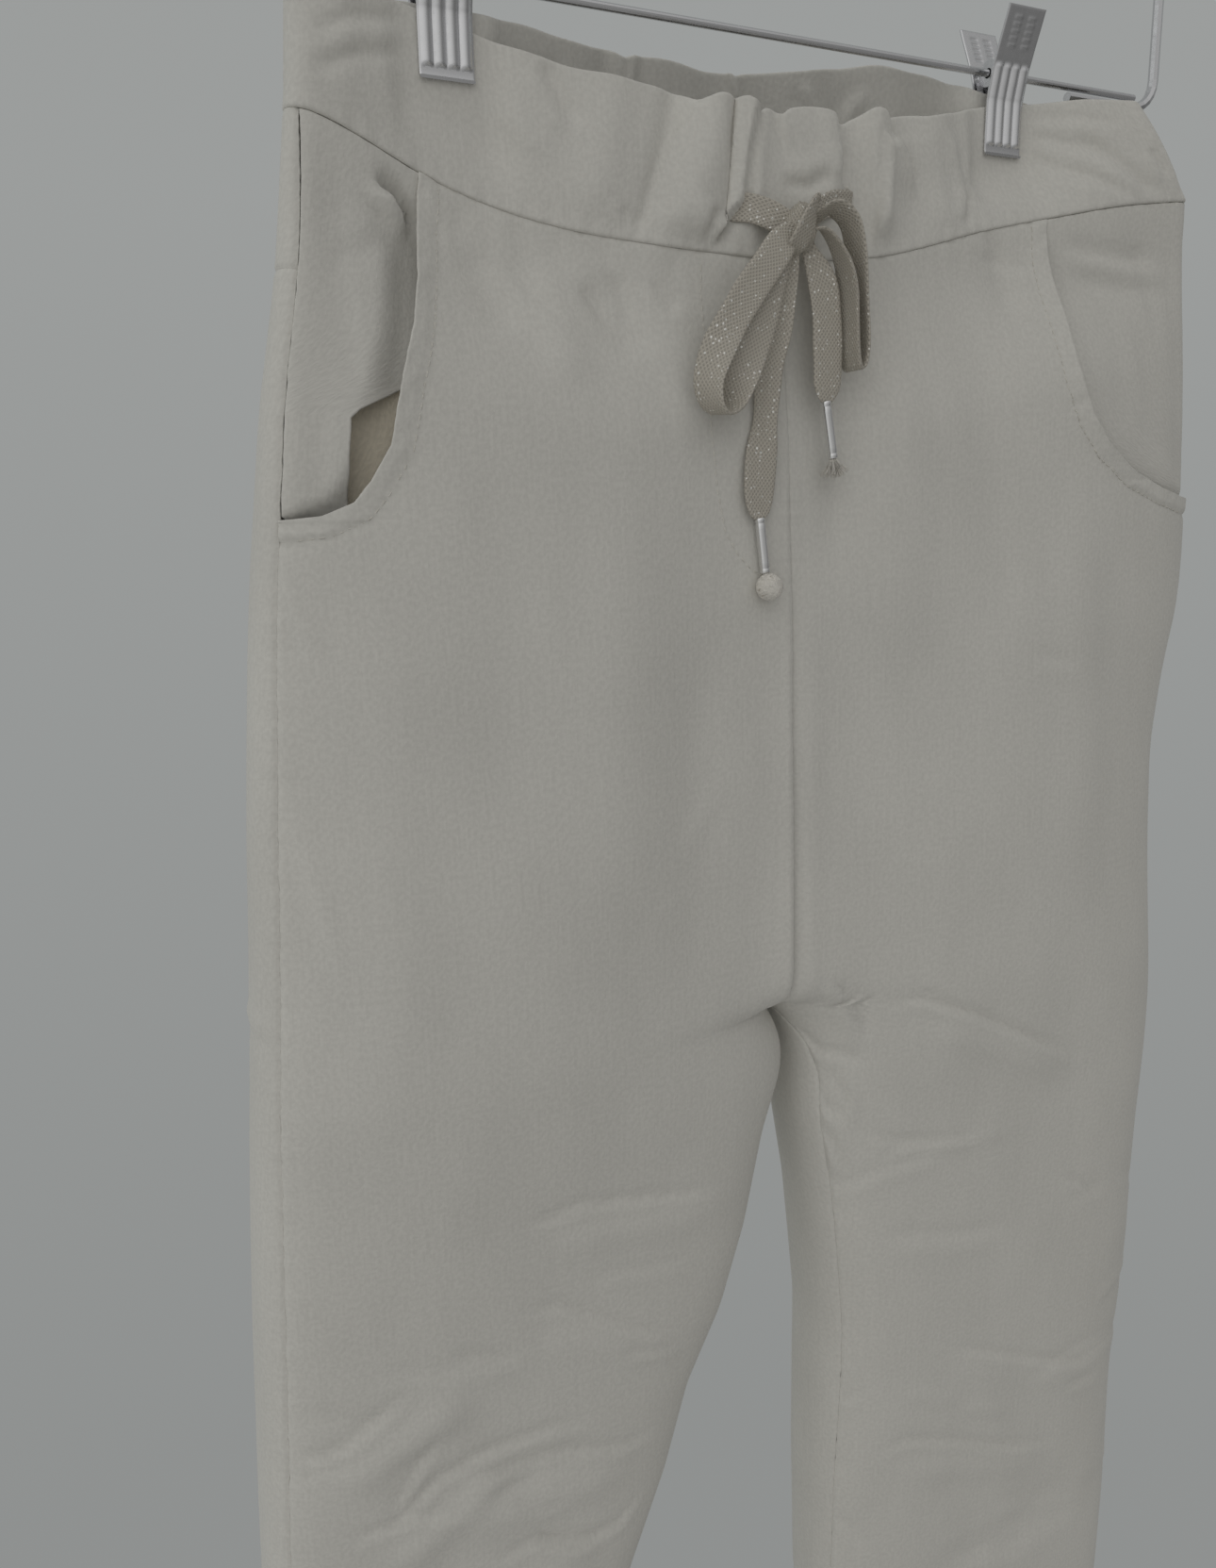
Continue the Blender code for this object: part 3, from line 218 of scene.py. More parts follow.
BAND = (
    (-171, 8, 43, 7, 8, 8, 43, 7, 8),
    (-150, 8, 51, 6, 8, 8, 51, 6, 8),
    (-128, 10, 61, 2.3, 5, 8, 56, 2.3, 5),
    (-108, 15, 68, 2.3, 6, 8, 58.5, 2.3, 6),
    (-84, 22, 75, 8, 12, 8, 59, 8, 12),
    (-50, 28, 79, 14, 18, 9, 59, 13, 17),
    (0, 31, 82, 18, 22, 9, 59, 16, 21),
    (40, 28, 78.5, 16, 20, 3, 54.5, 14, 19),
    (66, 25, 72.5, 12, 16, 1, 53.5, 11, 15),
    (88, 19, 66, 8, 12, 2, 54, 7, 11),
    (108, 13, 61, 2.3, 7, 7, 56, 2.3, 6),
    (128, 10, 57, 2.3, 6, 8, 56, 2.3, 6),
    (165, 8, 50, 8, 10, 8, 50, 7, 9),
    (207, 8, 45, 8, 10, 8, 45, 7, 9),
)
SIDE_SEAM_COLUMNS = ("drop", "left", "right")
SIDE_SEAM = ((43, 7, 2), (100, 12, 4), (250, 17, 5), (430, 22, 6), (1040, 22, 8))
INSIDE_SEAM_COLUMNS = ("drop", "left", "right")
INSIDE_SEAM = ((372, 0, 0), (381, 0, 9), (393, 0, 17), (410, 0, 22), (560, 0, 22), (700, 2, 17), (1040, 4, 8))
POCKET_COLUMNS = ("drop", "left", "right")
POCKET = (
    (50, 129, 131.5), (76, 133, 132), (93, 136, 132.5), (108, 139.5, 133), (120, 143.5, 134.5),
    (135, 147.5, 141), (146, 150, 151), (157, 157, 168), (164, 163, 188), (168, 173, 206), (168.7, 181, 213),
    (169.2, 188, 219), (169.5, 196, 226),
)
POCKET_FOOT = 169.5
POCKET_HEM = 6.8

# The broad folds: x and drop of one end, then of the other, the half width and the height.
# A trough's height is negative.
FOLDS = {}
FOLDS["front"] = (
    (-118, 80, -104, 112, 7, -2.0), (-92, 84, -84, 130, 8, 2.0), (-74, 88, -56, 118, 7, -2.2),
    (-40, 92, -44, 150, 10, 1.6), (17, 92, 18, 210, 14, -2.4), (47, 92, 51, 240, 16, 2.4),
    (88, 86, 96, 240, 14, -2.2), (104, 66, 112, 96, 6, -1.8), (133, 150, 145, 330, 16, 2.0),
    (-70, 130, -78, 330, 18, 2.2), (-112, 120, -124, 300, 14, -1.8), (-158, 190, -168, 420, 16, 1.6),
    (-38, 200, -46, 360, 14, -1.6), (60, 384, 150, 428, 7, 1.6), (94, 570, 190, 616, 8, 1.4),
    (60, 618, 165, 655, 9, 1.8), (24, 366, 36, 400, 5, 1.8), (22, 420, 36, 462, 6, 1.6),
    (-119, 440, -22, 454, 8, 1.6), (-118, 480, -46, 514, 8, 1.4), (-205, 524, -140, 496, 9, 2.6),
    (-186, 566, -124, 532, 9, 2.8), (-160, 556, -70, 560, 9, 2.2), (-170, 590, -90, 600, 10, 2.4),
    (-180, 640, -90, 660, 12, -2.2), (-200, 700, -110, 690, 14, 2.2), (70, 700, 190, 680, 14, -2.2),
    (90, 760, 200, 790, 14, 2.2), (-210, 780, -110, 800, 14, -2.2), (-190, 980, -120, 1000, 10, 2.0),
    (110, 985, 190, 1000, 10, 2.0),
)
FOLDS["back"] = (
    (0, 140, 4, 300, 12, 2.0), (-50, 100, -58, 320, 16, -2.4), (-96, 110, -106, 340, 16, 2.4),
    (-140, 120, -150, 300, 12, -1.8), (52, 100, 60, 330, 16, -2.2), (100, 110, 112, 340, 16, 2.4),
    (150, 120, 160, 310, 14, -1.8), (-150, 330, -30, 372, 12, -3.2), (-140, 356, -24, 404, 10, 2.8),
    (160, 336, 40, 380, 12, -3.2), (150, 366, 44, 414, 10, 2.8), (-190, 450, -60, 486, 11, -2.8),
    (-180, 520, -60, 500, 12, 3.0), (190, 460, 70, 496, 11, -2.8), (180, 540, 60, 516, 12, 3.0),
    (-200, 590, -80, 620, 12, -3.0), (200, 600, 60, 640, 12, -3.0), (-200, 700, -110, 680, 14, 2.6),
    (200, 720, 80, 690, 14, 2.6), (-210, 820, -110, 850, 14, -2.4), (200, 830, 90, 860, 14, -2.4),
)

# The sharp creases of the photo: depth, half width, then the line's points as x and drop.
# Each is a narrow trough with a soft ridge along its lower side.
FRONT_CREASES = (
    (1.3, 2.0, (42, 378), (60, 373), (91, 386), (120, 402), (157, 423)),
    (0.8, 2.0, (40, 436), (53, 442), (88, 448), (104, 449)),
    (0.7, 2.0, (48, 450), (61, 446), (82, 449)),
    (1.1, 2.0, (93, 560), (135, 580), (165, 594), (193, 606)),
    (1.1, 2.0, (50, 612), (71, 606), (99, 616), (125, 629), (170, 646)),
    (0.9, 1.8, (152, 484), (164, 490), (179, 503)),
    (0.5, 3.0, (112, 230), (139, 236)),
    (1.4, 1.9, (20, 359), (32, 372), (38, 392)),
    (1.3, 1.9, (14, 386), (22, 397), (31, 398), (40, 404)),
    (1.3, 1.9, (18, 405), (24, 422), (34, 432)),
    (1.2, 1.9, (19, 431), (28, 440), (36, 460)),
    (-1.0, 1.9, (30, 404), (36, 418), (34, 436)),
    (0.9, 1.8, (22, 472), (36, 480)),
    (0.9, 1.8, (23, 492), (28, 503), (34, 500)),
    (0.8, 1.8, (26, 520), (34, 534), (32, 552)),
    (0.7, 1.8, (26, 570), (38, 580), (50, 574)),
    (0.7, 2.0, (30, 640), (44, 652), (50, 670)),
    (1.2, 1.9, (-124, 432), (-95, 429), (-67, 434), (-26, 444)),
    (0.5, 2.0, (-104, 454), (-92, 464), (-87, 470)),
    (0.5, 2.2, (-92, 462), (-63, 468), (-44, 471)),
    (1.1, 1.9, (-122, 468), (-105, 471), (-83, 486), (-48, 508)),
    (0.8, 1.9, (-82, 502), (-64, 506), (-48, 511)),
    (1.2, 2.0, (-214, 509), (-197, 505), (-182, 496), (-166, 485)),
    (0.6, 1.8, (-210, 516), (-202, 512), (-189, 511)),
    (0.9, 2.0, (-179, 539), (-167, 520), (-155, 507)),
    (1.3, 2.1, (-182, 547), (-161, 529), (-138, 524), (-118, 524), (-90, 529)),
    (1.2, 2.0, (-154, 530), (-131, 536), (-107, 537), (-81, 547), (-57, 549)),
    (1.1, 2.0, (-196, 545), (-169, 541), (-146, 548)),
    (1.3, 2.1, (-142, 578), (-119, 575), (-103, 586), (-82, 586), (-68, 575)),
    (0.8, 2.0, (-176, 566), (-158, 572), (-150, 584)),
    (1.0, 2.2, (-150, 600), (-110, 612), (-80, 606)),
    (0.7, 2.0, (-132, 548), (-120, 560), (-104, 562)),
    (-0.7, 3.0, (-191, 180), (-176, 214)),
    (0.6, 2.6, (-199, 259), (-190, 266)),
    (-0.5, 3.0, (-188, 273), (-179, 323)),
    (0.9, 2.6, (-104, 84), (-95, 96), (-85, 106)),
    (0.9, 2.4, (-66, 88), (-62, 97), (-60, 106)),
    (0.7, 2.2, (-52, 90), (-46, 99), (-40, 94)),
    (0.8, 2.4, (-78, 92), (-68, 108)),
    (0.5, 2.4, (96, 72), (118, 76), (128, 74)),
    (0.7, 2.0, (99, 64), (104, 68), (109, 71)),
    (0.8, 2.4, (168, 610), (196, 616)),
    (1.0, 2.4, (-190, 640), (-140, 652), (-98, 648)),
    (1.0, 2.4, (92, 690), (140, 700), (196, 694)),
    (1.0, 2.6, (-212, 742), (-160, 730), (-112, 738)),
    (1.0, 2.6, (70, 770), (120, 790), (190, 796)),
    (0.9, 2.6, (-205, 838), (-150, 852)),
    (0.9, 2.6, (104, 868), (170, 860), (210, 868)),
    (0.8, 2.6, (-200, 934), (-130, 922)),
    (0.8, 2.6, (100, 946), (160, 958)),
)
CREASE_GAIN = 1.5
CREASE_NARROW = 0.85
SHELL_EDGE = (0.0, 0.2, 0.5, 1.0, 1.8)
SHELL_EDGE_END = 2.8
GRAIN_FROM = 100.0


def table_column(rows, names, name):
    """One named column of a table."""
    return [row[names.index(name)] for row in rows]


def read(rows, names, name, at, reach=9.0):
    """A table's column at a place, eased round the table's corners."""
    places = table_column(rows, names, names[0])
    values = table_column(rows, names, name)
    at = np.asarray(at, float)
    steps = (-reach, -0.5 * reach, 0.0, 0.5 * reach, reach)
    return sum(np.interp(at + step, places, values) for step in steps) / len(steps)


def ease(t):
    """A smooth step from 0 to 1."""
    t = np.clip(t, 0.0, 1.0)
    return t * t * (3.0 - 2.0 * t)


def ridge_at(away, place, half_width):
    """A soft ridge, 1 high, at a place across a distance."""
    return np.exp(-(((away - place) / half_width) ** 2))


def fold_height(folds, x, drop):
    """The height of the broad folds at points of a panel."""
    height = np.zeros_like(x)
    for x1, drop1, x2, drop2, half_width, rise in folds:
        run = np.array((x2 - x1, drop2 - drop1), float)
        length = np.hypot(*run)
        along = ((x - x1) * run[0] + (drop - drop1) * run[1]) / length**2
        aside = ((x - x1) * run[1] - (drop - drop1) * run[0]) / length
        fade = ease(along / 0.3) * ease((1.0 - along) / 0.3)
        height += rise * fade * ridge_at(aside, 0.0, half_width)
    return height


def nearest_on(points, x, drop):
    """How far points lie from a line of points (below it is positive), and how far along it, 0 to 1."""
    best = np.full(x.shape, 1e9)
    aside = np.zeros_like(x)
    along = np.zeros_like(x)
    lengths = [math.dist(a, b) for a, b in zip(points, points[1:])]
    start = 0.0
    for (x1, d1), (x2, d2), length in zip(points, points[1:], lengths):
        run_x, run_d = (x2 - x1) / length, (d2 - d1) / length
        reach = np.clip((x - x1) * run_x + (drop - d1) * run_d, 0.0, length)
        away = np.hypot(x - x1 - reach * run_x, drop - d1 - reach * run_d)
        side = np.where((drop - d1) * run_x - (x - x1) * run_d >= 0.0, 1.0, -1.0)
        nearer = away < best
        best = np.where(nearer, away, best)
        aside = np.where(nearer, away * side, aside)
        along = np.where(nearer, (start + reach) / sum(lengths), along)
        start += length
    return aside, along


def crease_height(creases, x, drop):
    """The height of the sharp creases at points of a panel."""
    height = np.zeros_like(x)
    for depth, half_width, *points in creases:
        aside, along = nearest_on(points, x, drop)
        across = aside / (CREASE_NARROW * half_width)
        trough = 0.75 * ridge_at(across, 0.0, 1.0) + 0.25 * np.exp(-np.abs(across) / 2.6)
        ridge = 0.55 * ridge_at(across, 2.2, 1.6)
        fade = ease(along / 0.22) * ease((1.0 - along) / 0.3)
        height += CREASE_GAIN * depth * (ridge - trough) * fade
    return height


def scattered_creases(seed, count, x_from, x_to, drop_from, drop_to):
    """Small creases between the main ones, each a short bent line."""
    chance = random.Random(seed)
    made = []
    for _ in range(count):
        x = chance.uniform(x_from, x_to)
        drop = chance.uniform(drop_from, drop_to)
        turn = chance.gauss(0.15, 0.45)
        reach = chance.uniform(14.0, 44.0)
        bend = chance.uniform(-0.16, 0.16) * reach
        cosine, sine = math.cos(turn), math.sin(turn)
        ends = [(-reach, 0.0), (0.0, bend), (reach, 0.0)]
        points = [(x + a * cosine - b * sine, drop + a * sine + b * cosine) for a, b in ends]
        depth = chance.choice((-1.0, 1.0, 1.0)) * chance.uniform(0.25, 0.75)
        made.append((depth, chance.uniform(2.8, 4.6), *points))
    return made


def closing(x, edge, radius=9.0):
    """1 on the flat of a folded tube, falling round to 0 at its edge."""
    near = np.clip((np.abs(x) - (edge - radius)) / radius, 0.0, 1.0)
    return np.sqrt(1.0 - near * near)


def seam_line(face, x):
    """The drop of the waist seam."""
    return read(BAND, BAND_COLUMNS, face + "_seam", x, 12.0)


def side_out(side, drop):
    """How far back (negative: forward) the side fold of a leg lies."""
    if side == "left":
        return 0.0 * drop
    change = RIGHT_FOLD_FORWARD - RIGHT_FOLD_FORWARD_LOW
    return -RIGHT_FOLD_FORWARD + change * ease((drop - 380.0) / 260.0)


def leg_half(side, face, drop_of):
    """One half of a leg's section, as x from the centre, out and drop, from the inner edge to the outer."""
    sign = -1.0 if side == "left" else 1.0
    level = float(drop_of(sign * LEVEL_AT))
    outer = float(read(BODY, BODY_COLUMNS, side + "_out", level))
    inner = float(read(BODY, BODY_COLUMNS, side + "_in", level, 4.0)) if level > CROTCH_DROP else 0.0
    share = min(max((level - RISE_SPLIT_FROM) / (CROTCH_DROP - RISE_SPLIT_FROM), 0.0), 1.0)
    half = (outer - inner) / (1.0 + share**RISE_SPLIT_POWER)
    centre = outer - half
    closed = max(share**RISE_CLOSE_POWER, 1e-9)
    to_side = np.linspace(math.acos(closed), 0.5 * math.pi, SAMPLES // 2)
    turn = np.concatenate([to_side, np.linspace(0.5 * math.pi, math.pi, SAMPLES // 2 + 1)[1:]])
    cosine = np.cos(turn)
    round_off = np.sin(turn) ** SQUARE_Y
    towards = (centre - inner) * np.clip(cosine / closed, 0.0, 1.0) ** SQUARE_X
    x = np.where(cosine > 0.0, centre - towards, centre + half * np.abs(cosine) ** SQUARE_X)
    x = np.maximum(x, inner)
    signed = sign * (x + 0.03)
    drop = drop_of(signed)
    depth = read(BODY, BODY_COLUMNS, face, drop)
    swell = read(BODY, BODY_COLUMNS, "swell", drop)
    lobe = np.sin(math.pi * np.clip(x / outer, 0.0, 1.0)) ** 2
    out = (depth + swell * lobe) * round_off
    band_out = read(BAND, BAND_COLUMNS, face + "_seam_out", signed, 5.0) * closing(x, outer)
    free = ease((drop - seam_line(face, signed)) / 70.0)
    out = (1.0 - free) * band_out + free * out
    out = out + fold_height(FOLDS[face], signed, drop) * round_off * ease((outer - x) / 22.0)
    lean = side_out(side, drop) * ease(x / outer)
    forward = out - lean if face == "front" else -out - lean
    return np.stack([signed, forward, drop + 0.0 * x], axis=1)


def arc_length(line):
    """The length along a line at each of its points."""
    steps = np.linalg.norm(np.diff(line[:, :3], axis=0), axis=1)
    return np.concatenate([[0.0], np.cumsum(steps)])


def sampled(line, length, places):
    """A line's columns at places along it."""
    return np.stack([np.interp(places, length, values) for values in line.T], axis=1)


def leg_round(side, drop_of):
    """A leg's section, from the back's inner edge round the side to the front's inner edge.

    Its columns are x, out, drop and the direction into the leg's hollow, as x and out.
    """
    back = leg_half(side, "back", drop_of)
    front = leg_half(side, "front", drop_of)
    line = np.concatenate([back, front[::-1][1:]])
    length = arc_length(line)
    line = sampled(line, length, np.linspace(0.0, length[-1], 4 * SAMPLES))
    whole = np.linalg.norm(line[0, :2] - line[-1, :2]) < 1.0
    reach = NORMAL_REACH
    if whole:
        wide = np.concatenate([line[-reach - 1 : -1], line, line[1 : reach + 1]])
    else:
        before = line[:reach] + 2.0 * (line[0] - line[:reach])
        after = line[-reach:] + 2.0 * (line[-1] - line[-reach:])
        wide = np.concatenate([before[::-1], line, after[::-1]])
    run = wide[2 * reach :, :2] - wide[: -2 * reach, :2]
    run /= np.linalg.norm(run, axis=1)[:, None]
    hand = -1.0 if side == "left" else 1.0
    inward = hand * np.stack([-run[:, 1], run[:, 0]], axis=1)
    centred = (np.abs(line[:, 0]) < 3.0) & (inward[:, 0] * hand < 0.0)
    inward[centred, 0] = 0.0
    return np.concatenate([line, inward], axis=1)


def front_and_back(side, drop_of):
    """A section cut in two at the side seam: the front from its inner edge, the back from its own."""
    line = leg_round(side, drop_of)
    level = float(drop_of(-LEVEL_AT if side == "left" else LEVEL_AT))
    fold = int(np.argmax(np.abs(line[:, 0])))
    length = arc_length(line)
    ahead = float(read(SIDE_SEAM, SIDE_SEAM_COLUMNS, side, level))
    seam = int(np.searchsorted(length, length[fold] + ahead))
    if level <= CROTCH_DROP:
        return line[seam:][::-1], line[: seam + 1]
    ahead = float(read(INSIDE_SEAM, INSIDE_SEAM_COLUMNS, side, level, 4.0))
    inside = min(int(np.searchsorted(length, length[-1] - ahead)), len(line) - 1)
    return line[seam : inside + 1][::-1], np.concatenate([line[inside:-1], line[: seam + 1]])


def laid_row(line, end, count):
    """Points along a line, close together at both ends. Those past the end are drawn back to it.

    Their columns are those of the line, then the length along it and how far the end is.
    """
    length = arc_length(line)
    middle = SHELL_EDGE_END + (length[-1] - 2.0 * SHELL_EDGE_END) * np.linspace(0.0, 1.0, count)
    last = [end - step for step in reversed(SHELL_EDGE)]
    at = np.concatenate([SHELL_EDGE, np.minimum(middle, end - SHELL_EDGE_END), last])
    return np.concatenate([sampled(line, length, at), at[:, None], (end - at)[:, None]], axis=1)


def columns_of(rows):
    """The x, the drop, the length along and the length to the end, at the points of an array of rows."""
    return rows[:, :, 0], rows[:, :, 2], rows[:, :, 5], rows[:, :, 6]


def level_line(drop):
    """A row that runs level."""
    return lambda x: drop + 0.0 * np.asarray(x, float)


def waist_row(face):
    """A row that runs along the waist seam."""
    return lambda x: seam_line(face, x)


def blended(upper, lower, shares):
    """Rows that lie shares of the way from one row to another."""
    return [lambda x, s=share: upper(x) * (1.0 - s) + lower(x) * s for share in shares]


def cloth_shell(name, rows, height, edge, wall, flip, surface):
    """A thin cloth shell with rounded edges, from rows of points, their added height and the nearest edge."""
    rows = np.asarray(rows)
    count = rows.shape[1]
    thick = wall * np.sqrt(1.0 - (1.0 - np.clip(edge / (0.5 * wall), 0.0, 1.0)) ** 2)
    thick = np.maximum(thick, 0.04 * wall)
    sides = []
    for depth in (0.5 * (wall - thick) - height, 0.5 * (wall + thick) - height):
        moved = rows[:, :, :2] + rows[:, :, 3:5] * depth[:, :, None]
        sides.append(np.stack([moved[:, :, 0], -moved[:, :, 1], -ROD_DROP - rows[:, :, 2]], axis=2) * MM)
    points = np.concatenate([side.reshape(-1, 3) for side in sides])
    under = rows.shape[0] * count
    same = np.zeros(rows.shape[:2], int)
    for i, row in enumerate(rows):
        for j in range(1, count):
            same[i, j] = same[i, j - 1] if row[j, 5] - row[j - 1, 5] < 1e-6 else j
    index = same + (np.arange(rows.shape[0]) * count)[:, None]
    faces = []
    for i in range(rows.shape[0] - 1):
        near, far = index[i].tolist(), index[i + 1].tolist()
        for j in range(count - 1):
            corners = list(dict.fromkeys((near[j], far[j], far[j + 1], near[j + 1])))
            if len(corners) > 2:
                faces.append(corners)
                faces.append([under + corner for corner in reversed(corners)])
    rim = index[0].tolist() + index[1:, -1].tolist()
    rim += index[-1, -2::-1].tolist() + index[-2:0:-1, 0].tolist()
    rim = [corner for corner, before in zip(rim, rim[-1:] + rim[:-1]) if corner != before]
    for here, after in zip(rim, rim[1:] + rim[:1]):
        faces.append([here, after, under + after, under + here])
    if flip:
        faces = [face[::-1] for face in faces]
    flat_uv = np.stack([rows[:, :, 5] - grain_start(rows)[:, None], -rows[:, :, 2]], axis=2)
    flat_uv = flat_uv.reshape(-1, 2) * MM
    return placed_mesh(name, points, faces, surface, np.concatenate([flat_uv, flat_uv]))


def grain_start(rows):
    """Where along each row the cloth's grain is counted from, so that it runs straight down a leg."""
    from_centre = np.abs(rows[:, :, 0])
    starts = np.zeros(len(rows))
    for i, (away, along) in enumerate(zip(from_centre, rows[:, :, 5])):
        j = int(np.argmax(away >= GRAIN_FROM))
        if j > 0:
            starts[i] = np.interp(GRAIN_FROM, away[j - 1 : j + 1], along[j - 1 : j + 1])
    return starts


def placed_mesh(name, points, faces, surface, uv=None):
    """A smooth mesh object with its points in the row frame. Points that no face uses are left out."""
    used = sorted({corner for face in faces for corner in face})
    renumbered = {corner: place for place, corner in enumerate(used)}
    mesh = bpy.data.meshes.new(name)
    faces = [[renumbered[corner] for corner in face] for face in faces]
    mesh.from_pydata([tuple(points[corner]) for corner in used], [], faces)
    if uv is not None:
        layer = mesh.uv_layers.new(name="flat_cut")
        corners = np.zeros(len(mesh.loops), int)
        mesh.loops.foreach_get("vertex_index", corners)
        layer.data.foreach_set("uv", np.asarray(uv)[used][corners].astype(float).ravel())
    mesh.materials.append(surface)
    mesh.shade_smooth()
    made = bpy.data.objects.new(name, mesh)
    scene.collection.objects.link(made)
    return made


def stands_for(piece, slot, *nodes):
    """A piece takes the place of its solids, which it hides, on the one body. The slot argument is not used.
    """
    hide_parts(*nodes)
    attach(piece, "root")


def noise_between(tree, where, scale, detail, low, high, dimensions):
    """A noise that runs between two values."""
    noise = add_node(tree, "TexNoise", {"Scale": scale, "Detail": detail, "Vector": where})
    noise.noise_dimensions = dimensions
    limits = {"From Min": 0.3, "From Max": 0.7, "To Min": low, "To Max": high, "Value": noise.outputs["Fac"]}
    return add_node(tree, "MapRange", limits).outputs["Result"]


def flat_cut(tree):
    """The place on the flat cut, from the piece's own UVs."""
    flat = add_node(tree, "UVMap")
    flat.uv_map = "flat_cut"
    return flat.outputs["UV"]


def woven_material(name, colour, slub, grain, roughness=0.88):
    """Cotton cloth on the flat cut: long slubs along the warp, a fine uneven grain and a faint mottling."""
    made, tree, shader = new_material(name)
    flat = flat_cut(tree)
    layers = []
    for scale, detail, low, high in (
        ((950.0, 32.0, 1.0), 2.0, 1.0 - slub, 1.0 + slub),
        ((620.0, 560.0, 1.0), 1.0, 1.0 - grain, 1.0 + grain),
        ((26.0, 15.0, 1.0), 3.0, 0.975, 1.025),
    ):
        stretched = add_node(tree, "Mapping", {"Scale": scale, "Vector": flat}).outputs["Vector"]
        layers.append(noise_between(tree, stretched, 1.0, detail, low, high, "2D"))
    weave = add_node(tree, "Math", {0: layers[0], 1: layers[1]}, "MULTIPLY").outputs["Value"]
    mottled = add_node(tree, "Math", {0: weave, 1: layers[2]}, "MULTIPLY").outputs["Value"]
    dyed = add_node(tree, "VectorMath", {0: colour, "Scale": mottled}, "SCALE")
    bump = add_node(tree, "Bump", {"Strength": 0.7, "Distance": 0.0012, "Height": weave})
    wire(tree, shader, {
        "Base Color": dyed.outputs["Vector"],
        "Normal": bump.outputs["Normal"],
        "Roughness": roughness,
        "Specular IOR Level": 0.25,
        "Sheen Weight": 0.12,
        "Sheen Roughness": 0.5,
    })
    return made


cloth = woven_material("stretch_cotton", CLOTH_COLOUR, 0.014, 0.035)


def across_at(rows, names, side, drop):
    """A table's column at a drop, straight from corner to corner."""
    return np.interp(drop, table_column(rows, names, "drop"), table_column(rows, names, side))


def pocket_edge(side, drop):
    """How far from the centre the pocket's edge lies."""
    return across_at(POCKET, POCKET_COLUMNS, side, drop)


def seam_dip(away, depth=0.8, width=1.6):
    """The cloth turns in at a seam."""
    return -depth * ridge_at(away, 0.0, width)


def puckers(away, along, size, fade):
    """Small uneven ripples beside a line of stitches."""
    wave = np.sin(along * 0.885) + 0.7 * np.sin(along * 0.556 + 1.3) + 0.5 * np.sin(along * 0.313 + 0.6)
    return size * wave * ridge_at(away, 0.0, fade)


def waist_gathers(seed, x, away):
    """Short gathers where the cloth is eased onto the elastic waistband."""
    chance = random.Random(seed)
    height = np.zeros_like(x)
    place = -205.0
    while place < 210.0:
        place += chance.uniform(7.0, 17.0)
        tall = chance.uniform(-1.0, 1.0)
        wide = chance.uniform(1.9, 4.2)
        lean = chance.uniform(-0.25, 0.25)
        reach = chance.uniform(8.0, 24.0)
        height += tall * ridge_at(x - place, lean * away, wide) * ridge_at(away, 0.0, reach)
    return height


def hem_puckers(seed, drop):
    """Short nips across the pocket's hem, where its fold is eased round the curve."""
    chance = random.Random(seed + 5)
    height = np.zeros_like(drop)
    place = 70.0
    while place < 160.0:
        place += chance.uniform(4.5, 15.0)
        height -= chance.uniform(0.25, 0.6) * ridge_at(drop, place, chance.uniform(0.9, 1.5))
    return height


def level_rows(start):
    """The level rows of a leg, close together where the photo shows it and at the hem."""
    drops = list(np.arange(start, CLOSE_ROWS_TO, CLOSE_ROW_STEP))
    drops += list(np.arange(CLOSE_ROWS_TO, HEM_DROP - 5.0, 2.0 * CLOSE_ROW_STEP))
    drops += [HEM_DROP - step for step in (3.6, 2.0, 1.0, 0.45, 0.0)]
    return [level_line(drop) for drop in drops]


def hem_height(row_drop, along):
    """The turned-up hem: a step at its stitches, which rope the cloth slightly."""
    away = row_drop - (HEM_DROP - HEM_BAND)
    rope = 0.16 * np.sin(0.42 * along + 0.35 * away) * ridge_at(away, 0.0, 14.0)
    height = HEM_RAISE * ease(away / 2.2 + 0.5) - 0.5 * ridge_at(away, 1.6, 0.9) + rope
    return np.where(row_drop > HEM_DROP - HEM_BAND - HEM_ROPED, height, 0.0)


def sewn(away, along, depth, width, size, fade=6.0):
    """A seam's dip with its puckers."""
    return seam_dip(away, depth, width) + puckers(away, along, size, fade)


